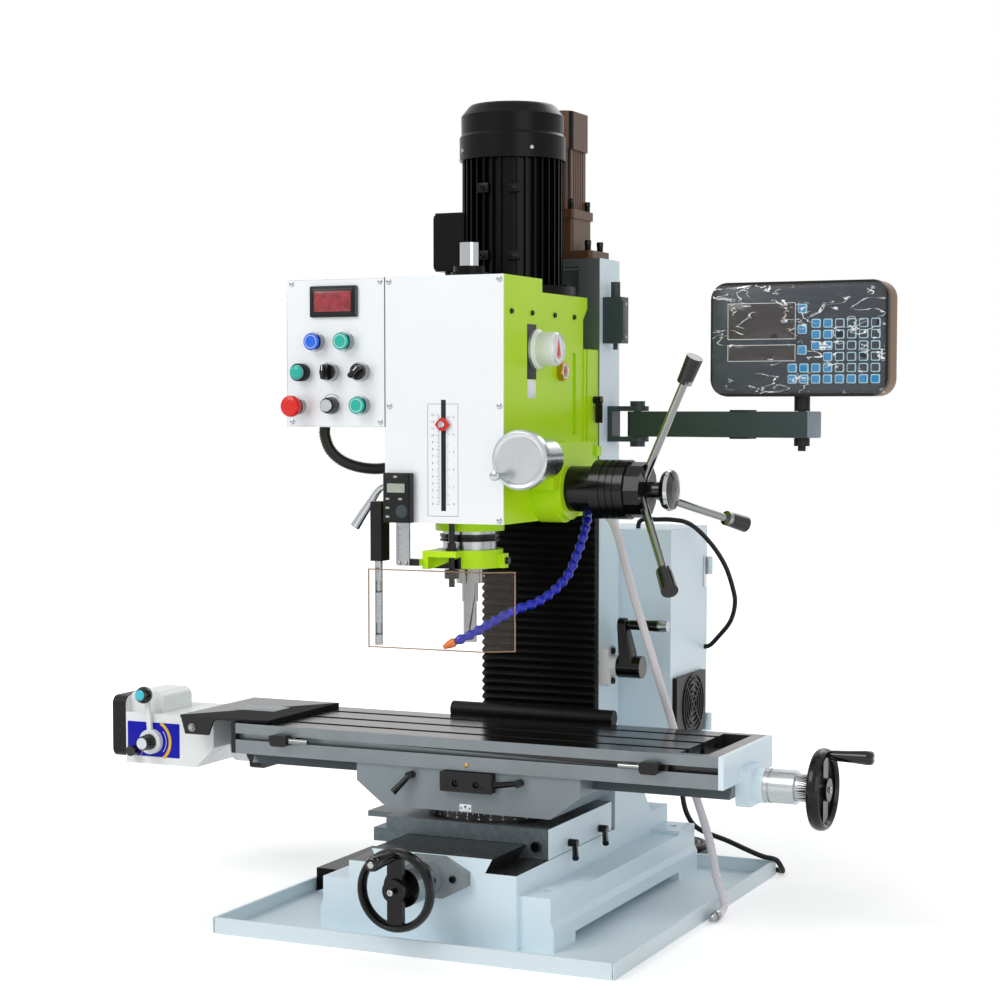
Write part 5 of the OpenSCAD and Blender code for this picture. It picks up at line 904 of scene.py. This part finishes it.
class MILL_OT_head_side(MillOperator, bpy.types.Operator):
    """Add the speed selector, oil sight, fine feed dial and screws on the head's side"""

    bl_idname = "mill.head_side"
    bl_label = "Head side"

    def make(self, scene):
        at = place(HEAD_X + 0.4, 27, 865, RIGHT)
        body = [(30, 0), (30, 4), (28.6, 6), (27, 8), (25.5, 9), (25.5, 31), (24.6, 34), (23, 36.2),
            (0, 36.2)]
        knob = Piece("speed_selector_knob").add(turned(body, 64), ABS, at)
        knob.add(turned([(23, 36), (22.4, 37), (21, 37), (20.6, 36)], 64, True), ALU, at)
        arrow = [(0, 16), (-7.5, -12), (-2, -7.5), (-2, -14), (2, -14), (2, -7.5), (7.5, -12)]
        knob.add(lifted(arrow, (36.1, 1), (36.7, 1)), RED, at)
        knob.add(turned([(29.6, 0.2), (30.4, 1.2), (30.2, 3.6), (29.6, 3.6)], 64, True), ALU, at)
        knob.add(turned([(5.9, -12), (5.9, 1)], 24), STEEL, at)
        knob.done("speed_selector", "feed_white", "speed_selector")
        side = Piece("head_side_trim")
        side.add(slab(33, 81, 0.34, 1, 0.1), INK, HEAD_X, 11, 861, RIGHT)
        side.add(slab(29, 27, 0.3, 1, 0.1), BRUSHED, HEAD_X, 11, 806, RIGHT)
        # Oil sight: gold hexagon, its ring, glass and a red spot
        at = place(HEAD_X, 119, 834, RIGHT)
        side.add(hex_head(30, 9), GOLD, HEAD_X, 119, 834, RIGHT, 12)
        side.add(turned([(11, 9), (10, 10), (9, 9)], 40, True), ALU, at)
        side.add(turned([(9.2, 9.2), (7, 9.9), (0, 10.2)], 40), AMBER, at)
        side.add(turned([(3.4, 10), (3.2, 10.3), (0, 10.4)], 24), RED, at)
        # Socket screws of the gear cover
        for y in (-62, 12, 96, 172):
            side.add(socket_screw(scene.mill_sizes.bolt / MM * 0.6, 3), GLOSS, HEAD_X, y, 918, RIGHT)
        side.done("head", "head_green")
        x, y, z = 128, -104, 704
        face = [(42, 0), (41, 1.4), (39, 1.8), (36.5, 0.7), (33.5, 0.6), (33.2, 1.2), (0, 1.3)]
        dial = Piece("fine_dial_marks").add(turned(face, 96), ALU, x, y, z, FRONT)
        for i in range(60):
            size = 7 if i % 5 == 0 else 4
            spot = on_drum("y", (x, y + 3 + size / 2, z), 43, radians(i * 6))
            dial.add(slab(size, 0.4, 0.15, 0.1, 0.02), INK, spot)
        grip = [(5.2, 0), (5.2, 26), (7, 27.5), (7, 31), (5, 32.4), (0, 32.6)]
        dial.add(turned(grip, 28), CHROME, x - 25.8, y, z - 22.4, FRONT)
        dial.done("fine_dial", "grip_black")
        rim = turned([(29, 12), (30.6, 13), (29.4, 17.4), (28.4, 18.2), (27.8, 17)], 64, True)
        Piece("clutch_knob_rim").add(rim, CHROME, 283.5, *FEED_HUB, RIGHT).done("clutch_knob", "grip_black")


class MILL_OT_depth_scale(MillOperator, bpy.types.Operator):
    """Finish the digital depth scale and the quill's black ring"""

    bl_idname = "mill.depth_scale"
    bl_label = "Digital depth scale"

    def make(self, scene):
        y = SCALE_Y - 1.4
        scale = Piece("depth_scale_face").add(slab(41, 70, 1.6, 2.5, 0.8), NYLON, -71, SCALE_Y, 647, FRONT)
        scale.add(slab(33, 16.5, 0.9, 1.5, 0.3), GLOSS, -71, y, 661, FRONT)
        scale.add(slab(29, 13, 0.5, 0.8, 0.2), CRYSTAL, -71, y - 0.7, 661, FRONT)
        for x, z in ((-72, 677.5), (-85, 645), (-85, 632), (-85, 619), (-64, 645)):
            scale.add(dish(6.5, 3.6, 1.6, 1.6, 0.6), CRYSTAL, x, y, z, FRONT)
        scale.add(turned([(9.5, 0), (9.5, 0.8), (8.7, 1), (0, 1)], 40), GREY, -62, y, 627, FRONT)
        scale.done("head", "display_black")
        strip = Piece("depth_strip_marks")
        for i in range(0, 56, 2):
            w = 9 if i % 10 == 0 else 5
            strip.add(mark(w, 0.35, 0.1), INK, -79.4 + w / 2, -86.95, 550 + i, FRONT)
        for x in (-74, -63):
            strip.add(pan_screw(6.4, 2.2), STEEL, x, -86.9, 549.5, FRONT, 10)
        strip.done("quill", "steel")
        groove = [(42, 580.5), (45.5, 580.5), (45.5, 583), (43.6, 584), (43.6, 586), (45.5, 587),
            (45.5, 591), (42, 591)]
        Piece("quill_ring").add(turned(groove, 72, True), GLOSS).done("head", "wheel_black")


class MILL_OT_motors(MillOperator, bpy.types.Operator):
    """Add the lid, glands, lugs and screws of both motors"""

    bl_idname = "mill.motors"
    bl_label = "Motors"

    def make(self, scene):
        motor = Piece("spindle_motor_trim")
        motor.add(slab(80, 86, 5, 7, 1.5), SATIN, -113, MOTOR_Y, 1035, LEFT)
        for y in (-32, 32):
            for z in (-35, 35):
                motor.add(pan_screw(7, 2.4), STEEL, -118, MOTOR_Y + y, 1035 + z, LEFT)
        for y in (-22, 22):
            gland = turned([(9, 0), (9, 8), (7, 9), (7, 14), (4.5, 15)], 24)
            motor.add(gland, SATIN, -96, MOTOR_Y + y, 990, DOWN)
        # Lifting lug bosses with their screws, on the front of the finned body
        for a in (-100, -64):
            for z in (1112, 1010):
                at = place(0, MOTOR_Y, z, TOP, a)
                motor.add(slab(22, 15, 6, 3, 1), SATIN, at @ place(76, 0, 0, RIGHT))
                motor.add(socket_screw(8, 4), GLOSS, at @ place(81.5, 0, 0, RIGHT))
        for a in (45, 135, 225, 315):
            x, y = 90 * cos(radians(a)), 90 * sin(radians(a))
            motor.add(hex_head(14, 7), GLOSS, x, MOTOR_Y + y, 964)
            motor.add(pan_screw(7, 2.2), STEEL, place(0, MOTOR_Y, 1172, TOP, a) @ place(81.6, 0, 0, RIGHT))
        motor.done("head", "motor_black")
        lift, bolt = Piece("elevation_motor_trim"), scene.mill_sizes.bolt / MM
        for sx in (-1, 1):
            for sy in (-1, 1):
                for (x, y), z, share in zip(SCREW_GRID, (1105, 1039), (0.75, 0.85)):
                    lift.add(socket_screw(bolt * share, 7), GLOSS, sx * x, LIFT_Y + sy * y, z)
        lift.done("frame", "motor_grey")


class MILL_OT_console(MillOperator, bpy.types.Operator):
    """Face the display console with its windows, keys and film, and dress its arm"""

    bl_idname = "mill.console"
    bl_label = "Display console"

    def make(self, scene):
        cx, y, cz = CONSOLE
        body = Piece("console_shell")
        levels = [(0, 0), (2, 0), (42, 0), (47, 1.6), (49.5, 5)]
        body.add(stepped(276.6, 172.6, 26.3, levels, steps=10), BRONZE, cx, y + 49.9, cz, FRONT)
        levels = [(42, 0), (47, 1.6), (49.8, 5)]
        body.add(stepped(277.2, 173.2, 26.6, levels, steps=10), GREY, cx, y + 49.9, cz, FRONT)
        body.add(slab(262, 158, 0.8, 22, 0.3), CONSOLE_FILM, cx, y + 0.4, cz, FRONT)
        body.done("console", "display_grey")
        face = Piece("console_face")
        # Two windows, each in a thin white frame
        for x, z, w, h in ((cx - 57, cz + 27, 106, 54), (cx - 57, cz - 21, 106, 24)):
            face.add(slab(w, h, 0.5, 2, 0.1), WINDOW, x, y - 0.4, z, FRONT)
            for side in (-0.5, 0.5):
                face.add(mark(w, 0.7), WHITE, x, y - 0.9, z + h * side, FRONT)
                face.add(mark(0.7, h), WHITE, x + w * side, y - 0.9, z, FRONT)
        # Keys: three beside the windows, then a field of columns and rows that the windows cut into
        keys = [(cx + 7, z, 14, KEY) for z in (cz + 45, cz + 14, cz - 17)]
        for row in range(6):
            for col in range(8):
                if row < 4 and col < 2 or row == 3 and col < 3:
                    continue
                tint = KEY if col < 4 or row == 5 else CONSOLE_FILM
                keys.append((cx - 8 + col * 18.2, cz + 22.5 - row * 16.6, 13.4, tint))
        for x, z, h, tint in keys:
            face.add(dish(14, h, 2.6, 2.4), KEY_PRINT, x, y - 0.4, z, FRONT)
            face.add(slab(11.4, h - 2.6, 0.3, 1.8, 0.1), tint, x, y - 2.7, z, FRONT)
        face.done("console", "display_black")
        # Film: a thin sheet over the face, puffed up and drawn round the corners
        n, grid, faces = 40, [], []
        for j in range(n + 1):
            for i in range(n + 1):
                u, v = i / n * 2 - 1, j / n * 2 - 1
                puff = 1.2 * sin(u * 9 + v * 4) + 0.9 * sin(v * 13 - u * 5)
                puff += 0.7 * sin(u * 21 + v * 17)
                edge = max(abs(u), abs(v)) ** 8
                grid.append((u * 134, v * 82, 5 + puff * (1 - edge) - 3.2 * edge))
                k = j * (n + 1) + i
                if i < n and j < n:
                    faces.append((k, k + 1, k + n + 2, k + n + 1))
        film = Piece("console_film").add((grid, faces), FILM, cx, y, cz, FRONT)
        film.done("console", "display_grey", sharp=180)
        turn = place(145, 320, 753, TOP, -13)
        arm = Piece("arm_trim").add(slab(39, 39, 2, 2, 0.8), CAP, turn @ place(320.2, 0, 0, RIGHT))
        for rise, facing in ((20, TOP), (-20, DOWN)):
            arm.add(slab(32, 30, 2.4, 2, 0.6), NYLON, turn @ place(196, 0, rise, facing))
        arm.done("arm", "display_grey")


class MILL_OT_power_feed(MillOperator, bpy.types.Operator):
    """Face the power feed: panel, scale arcs, knob and lever ball"""

    bl_idname = "mill.power_feed"
    bl_label = "Power feed"

    def make(self, scene):
        kx, kz = FEED_KNOB
        front = Piece("feed_panel")
        front.add(slab(100, 56, 0.5, 2, 0.1), PANEL, -580.5, FEED_Y, 239.5, FRONT)

        def arc_mark(cx, cz, r, turn, w, h, tint):
            x, z = cx + r * cos(radians(turn)), cz + r * sin(radians(turn))
            front.add(mark(w, h, 0.15), tint, x, FEED_Y - 0.5, z, FRONT, turn)

        steps = 18
        for r, start, end, w, tint in ((33.4, -52, 62, 5, YELLOW), (26, -40, 40, 0.9, WHITE)):
            step = (end - start) / steps
            for i in range(steps):
                arc_mark(kx, kz, r, start + step * (i + 0.5), w, r * radians(step) + 0.4, tint)
        for i in range(7):
            arc_mark(*RAPID, 11.5, -48 + i * 8, 1.6, 0.8, YELLOW)
        # Cover over the table's left end: a lighter plate let into the top and a bolt with its washer
        front.add(slab(76, 52, 0.4, 1, 0.1), GROUND, -418, 90, 291)
        bolt = [(6.6, 0), (6.6, 1.4), (4.6, 1.6), (4.6, 5), (3.8, 5.8), (0, 6)]
        front.add(turned(bolt, 32), DARK_REFLECTION_STEEL, -478, -24, 272, FRONT)
        front.done("table", "feed_white")
        inset = turned([(8.4, 11), (8.2, 12.6), (5, 14), (0, 14.5)], 32)
        Piece("lever_inset").add(inset, CYAN, -588.7, 5.2, 314.5, FRONT).done("feed_lever", "feed_white")
        at = place(kx, 9.4, kz, FRONT)
        skirt = fluted(13, 0.55, ((0, 1.0), (3, 1.0), (4.4, 0.9), (19.6, 0.86), (21.4, 0.8)), 3.5)
        knob = Piece("feed_knob_cap").add(skirt, PHENOLIC, at)
        knob.add(turned([(9.8, 21.2), (9.4, 22), (7, 21.7), (0, 21.9)], 40), ALU, at)
        knob.done("feed_knob", "grip_black", "feed_speed_knob")


class MILL_OT_wheels(MillOperator, bpy.types.Operator):
    """Graduate the dials, finish the wheels' handles, and bend the quill lock lever and the guard's edge"""

    bl_idname = "mill.wheels"
    bl_label = "Handwheels, quill lock and guard"

    def make(self, scene):
        for axis, centre, run, radius, screw in (
            ("y", (0, -179, Y_SHAFT_Z), (0, -0.5, 0), 28.55, place(0, -259.8, Y_SHAFT_Z, FRONT)),
            ("x", (442, *X_SHAFT), (0.5, 0, 0), 24.95, place(529.8, *X_SHAFT, RIGHT)),
        ):
            marks = Piece(axis + "_dial_marks")
            for i in range(100):
                size = 6 if i % 10 == 0 else 3.4
                spot = on_drum(axis, Vector(centre) + size * Vector(run), radius, radians(i * 3.6))
                marks.add(mark(size, 0.35), INK, spot)
            marks.add(socket_screw(9, 3), CHROME, screw)
            marks.done(axis + "_wheel", "wheel_black")
        bend = [(-94, 659), (-130, 659), (-146, 658), (-156, 651), (-163, 641), (-180, 618), (-195, 597)]
        bend = smooth_path([(x, 0, z) for x, z in bend], 3)
        flare = [4.8 + 5.2 * max(0, i / (len(bend) - 1) - 0.4) for i in range(len(bend))]
        lever = Piece("quill_lock_bent").add(swept(bend, flare, 24), CHROME)
        lever.done("quill_lock", "steel", "quill_lock_lever")
        # Brown edge of the guard, along its sheet and the wing
        edge, wing = Piece("guard_edge"), radians(34)
        near, far = (-120.2, -95.8), (65 + 50 * cos(wing) - 1.4, -97 + 50 * sin(wing) + 0.2)
        for z in (424.9, 540.1):
            edge.add(swept([(*near, z), (65, -95.8, z), (*far, z)], 0.9, 8), EDGE)
        for end in (near, far):
            edge.add(swept([(*end, 424.9), (*end, 540.1)], 0.9, 8), EDGE)
        edge.done("guard", "guard_clear")
        shape = [(6.6, 0), (7.4, 1.5), (7.8, 8), (8.2, 20), (9.2, 38), (10.4, 54), (10.4, 59), (9.2, 63),
            (6.2, 64.8), (0, 65)]
        for axis, at in (("y", place(0, -253.4, 150.4, FRONT)), ("x", place(530.4, 95, 277.4, RIGHT))):
            grip = Piece(axis + "_grip_turned").add(turned(shape, 40), PHENOLIC, at)
            grip.add(turned([(4.6, 64.4), (4.6, 65.5), (4, 65.9), (0, 65.9)], 24), CHROME, at)
            grip.done(axis + "_grip", "grip_black", axis + "_wheel_handle")


class MILL_OT_castings(MillOperator, bpy.types.Operator):
    """Set bolts, plates and scales on the base, saddle, apron, column and cabinet"""

    bl_idname = "mill.castings"
    bl_label = "Castings and cabinet"

    def make(self, scene):
        trim = Piece("base_bolts")
        for x in (-42, 42):
            trim.add(socket_screw(scene.mill_sizes.bolt / MM * 0.8, 4), GLOSS, x, -146, 100, FRONT)
        for x in (-116, 116):
            for y in (282, 351):
                trim.add(hex_head(17, 9), STEEL, x, y, 206)
        trim.done("frame", "cast_white")
        # Scale of the swivel disc in degrees, the index plate above it and an oiler
        drum = Piece("swivel_scale")
        for i in range(-12, 13):
            at = place(0, SWIVEL_Y, 0, TOP, 5 * i)
            h = 5 if i % 2 == 0 else 3
            drum.add(mark(0.9, h, 0.15), WHITE, at @ place(0, -105, 170.6 - h / 2, FRONT))
            if i % 2 == 0:
                drum.add(figures(str(abs(5 * i)), 3), WHITE, at @ place(0, -105.2, 161.4, FRONT))
        drum.add(socket_screw(15.6, 6), GLOSS, 116, -15, 129.6, FRONT)
        drum.done("saddle", "scraped_iron")
        index, x = Piece("apron_trim"), -0.6
        index.add(slab(19.6, 11.4, 0.8, 0.6, 0.2), BRUSHED, x, -15, 178, FRONT)
        index.add(lifted([(-2.6, 3.4), (2.6, 3.4), (0, -1)], (0.8, 1), (0.95, 1)), INK, x, -15, 178, FRONT)
        for side in (-7, 7):
            index.add(pan_screw(3.4, 1.2), DARK_REFLECTION_STEEL, x + side, -15.7, 178, FRONT, 30)
        for x, y, z, d, h in (
            (-11.2, -22, 219, 9.6, 4.8),
            (23.2, -22, 219, 9.6, 4.8),
            (-25.7, -28.6, 213.4, 6, 1),
            (31.9, -28.6, 212.8, 6, 1),
        ):
            index.add(socket_screw(d, h), GLOSS, x, y, z, FRONT)
        index.done("apron", "scraped_iron")
        oiler = turned([(3.4, 0), (3.4, 0.8), (2.4, 1.4), (0, 1.6)], 28)
        Piece("table_oiler").add(oiler, BRASS, 3.5, -20, 243.5, FRONT).done("table", "steel")
        column = Piece("column_trim")
        for z in (-24, 24):
            column.add(socket_screw(11, 4), GLOSS, 116, 286, 366 + z, RIGHT)
        column.add(slab(24, 64, 1.4, 2, 0.5), GREY, 132, 296, 917, RIGHT)
        for z in (-26, 26):
            column.add(pan_screw(5, 1.6), STEEL, 133.4, 296, 917 + z, RIGHT)
        column.done("frame", "fitting_grey")
        # Louvre rings of the cabinet's fan with their cross, two hinges and the door's plate
        cabinet = Piece("cabinet_trim")
        for r in range(12, 49, 9):
            rib = turned([(r, 0), (r, 2), (r + 2, 2), (r + 2, 0)], 64, True)
            cabinet.add(rib, NYLON, 194, 453.5, 288, RIGHT)
        for a in (45, -45):
            cabinet.add(slab(106, 4, 1.6, 1.5), NYLON, 194, 453.5, 288, RIGHT, a)
        for z, h in ((503.6, 52), (262, 26)):
            cabinet.add(slab(13, h, 2.4, 2), CHROME, 186, 530.5, z, RIGHT)
        cabinet.add(slab(26, 60, 3, 5), CHROME, -118, 546, 373, BACK)
        cabinet.done("frame", "cast_white")


class MILL_OT_way_cover(MillOperator, bpy.types.Operator):
    """Fold the way cover below the head"""

    bl_idname = "mill.way_cover"
    bl_label = "Way cover"

    def make(self, scene):
        low, high, folds, back = 290, 619.4, 26, 264.8
        rings = []
        for i in range(folds * 4 + 1):
            z = low + i * ((high - low) / folds) / 4
            f = (0, 0.62, 1, 0.62)[i % 4]
            y, x = 258 - 6.8 * f, 98 + 1.6 * f
            outline = [(-x, back), (x, back), (x, y + 2), (x - 2, y), (-x + 2, y), (-x, y + 2)]
            rings.append([(px, py, z) for px, py in outline])
        ends = ("slide", (0, 0.26, low * MM), (0, 0.26, high * MM))
        cover = Piece("folded_cover").add(loft(rings), RUBBER)
        cover.done("frame", "bellows_black", "bellows", sharp=70, stretch=ends)


class MILL_OT_stage(MillOperator, bpy.types.Operator):
    """Lay the floor and set the lamps and the camera"""

    bl_idname = "mill.stage"
    bl_label = "Stage"

    def seen_by_eye(self, tree, other, eye):
        """One value for what the eye sees, also in metal or through glass, and one for all other light."""
        ray = add(tree, "ShaderNodeLightPath").outputs
        seen = ray["Is Camera Ray"]
        for kind in ("Is Glossy Ray", "Is Transmission Ray"):
            seen = maths(tree, "MAXIMUM", seen, ray[kind])
        return ramp(tree, seen, other, eye)

    def make(self, scene):
        scene.view_settings.view_transform = "Standard"

        def hold(name, data):
            holder = bpy.data.objects.new(name, data)
            scene.collection.objects.link(holder)
            return holder

        mesh = bpy.data.meshes.new("floor")
        mesh.from_pydata([(-9, -7, 0), (9, -7, 0), (9, 11, 0), (-9, 11, 0)], [], [(0, 1, 2, 3)])
        floor = hold("floor", mesh)
        mat, tree, spot = new_material("Pale studio floor")
        grain = add(tree, "ShaderNodeTexNoise", {"Vector": spot, "Scale": 6.0})
        tint = blended(tree, grain.outputs["Fac"], "F4F4F4", "FAFAFA")
        # The floor's own glow grows with the distance from the machine, to meet the white world
        away = add(tree, "ShaderNodeVectorMath", {0: spot}, operation="LENGTH").outputs["Value"]
        glow = self.seen_by_eye(tree, 0.0, ramp(tree, away, 0.3, 0.75, 0.7, 2.4))
        surface(tree, Base__Color=tint, Roughness=0.75, Emission__Color=(1, 1, 1, 1), Emission__Strength=glow)
        mesh.materials.append(mat)
        world = bpy.data.worlds.new("studio")
        scene.world = world
        world.use_nodes = True
        tree = world.node_tree
        tree.nodes.clear()
        strength = self.seen_by_eye(tree, 0.5, 1.0)
        light = add(tree, "ShaderNodeBackground", {"Color": (1, 1, 1, 1), "Strength": strength})
        add(tree, "ShaderNodeOutputWorld", {"Surface": light.outputs["Background"]})
        aim = Vector((0, 0.15, 0.55))
        for name, spot, size, power in (
            ("key", (-1.6, -3.0, 3.4), 2.2, 82),
            ("fill", (3.2, -2.6, 1.6), 2.4, 30),
            ("rim", (0.4, 3.4, 3.2), 2.0, 30),
        ):
            lamp = bpy.data.lights.new(name, "AREA")
            lamp.energy, lamp.size = power, size
            holder = hold(name, lamp)
            holder.location = spot
            holder.rotation_euler = (aim - Vector(spot)).to_track_quat("-Z", "Y").to_euler()
        camera = bpy.data.cameras.new("camera")
        camera.sensor_width, camera.lens = 36, 76.86
        camera.shift_x, camera.shift_y = -0.006, 0.041
        holder = hold("camera", camera)
        holder.location = (1.3744, -2.8814, 0.7757)
        holder.rotation_euler = (radians(90 - 3.52), 0, radians(24.53))
        scene.camera = holder


STEPS = [MILL_OT_materials, MILL_OT_stage, MILL_OT_cords, MILL_OT_coolant, MILL_OT_front_plate,
    MILL_OT_control_panel, MILL_OT_head_side, MILL_OT_depth_scale, MILL_OT_motors, MILL_OT_console,
    MILL_OT_power_feed, MILL_OT_wheels, MILL_OT_castings, MILL_OT_way_cover]


class MILL_PT_panel(bpy.types.Panel):
    """Sizes, colours and steps of the mill drill"""

    bl_label = "Mill Drill"
    bl_idname = "MILL_PT_panel"
    bl_space_type = "VIEW_3D"
    bl_region_type = "UI"
    bl_category = "Mill Drill"

    def draw(self, context):
        for group in (context.scene.mill_colours, context.scene.mill_sizes):
            box = self.layout.box()
            for key in group.__annotations__:
                box.prop(group, key)
        for step in STEPS:
            self.layout.operator(step.bl_idname)


CLASSES = [MillColours, MillSizes, *STEPS, MILL_PT_panel]


def register():
    for cls in CLASSES:
        bpy.utils.register_class(cls)
    bpy.types.Scene.mill_colours = PointerProperty(type=MillColours)
    bpy.types.Scene.mill_sizes = PointerProperty(type=MillSizes)


def unregister():
    del bpy.types.Scene.mill_colours
    del bpy.types.Scene.mill_sizes
    for cls in reversed(CLASSES):
        bpy.utils.unregister_class(cls)


def main():
    register()
    for step in STEPS:
        group, name = step.bl_idname.split(".")
        getattr(getattr(bpy.ops, group), name)()


if __name__ == "__main__":
    main()
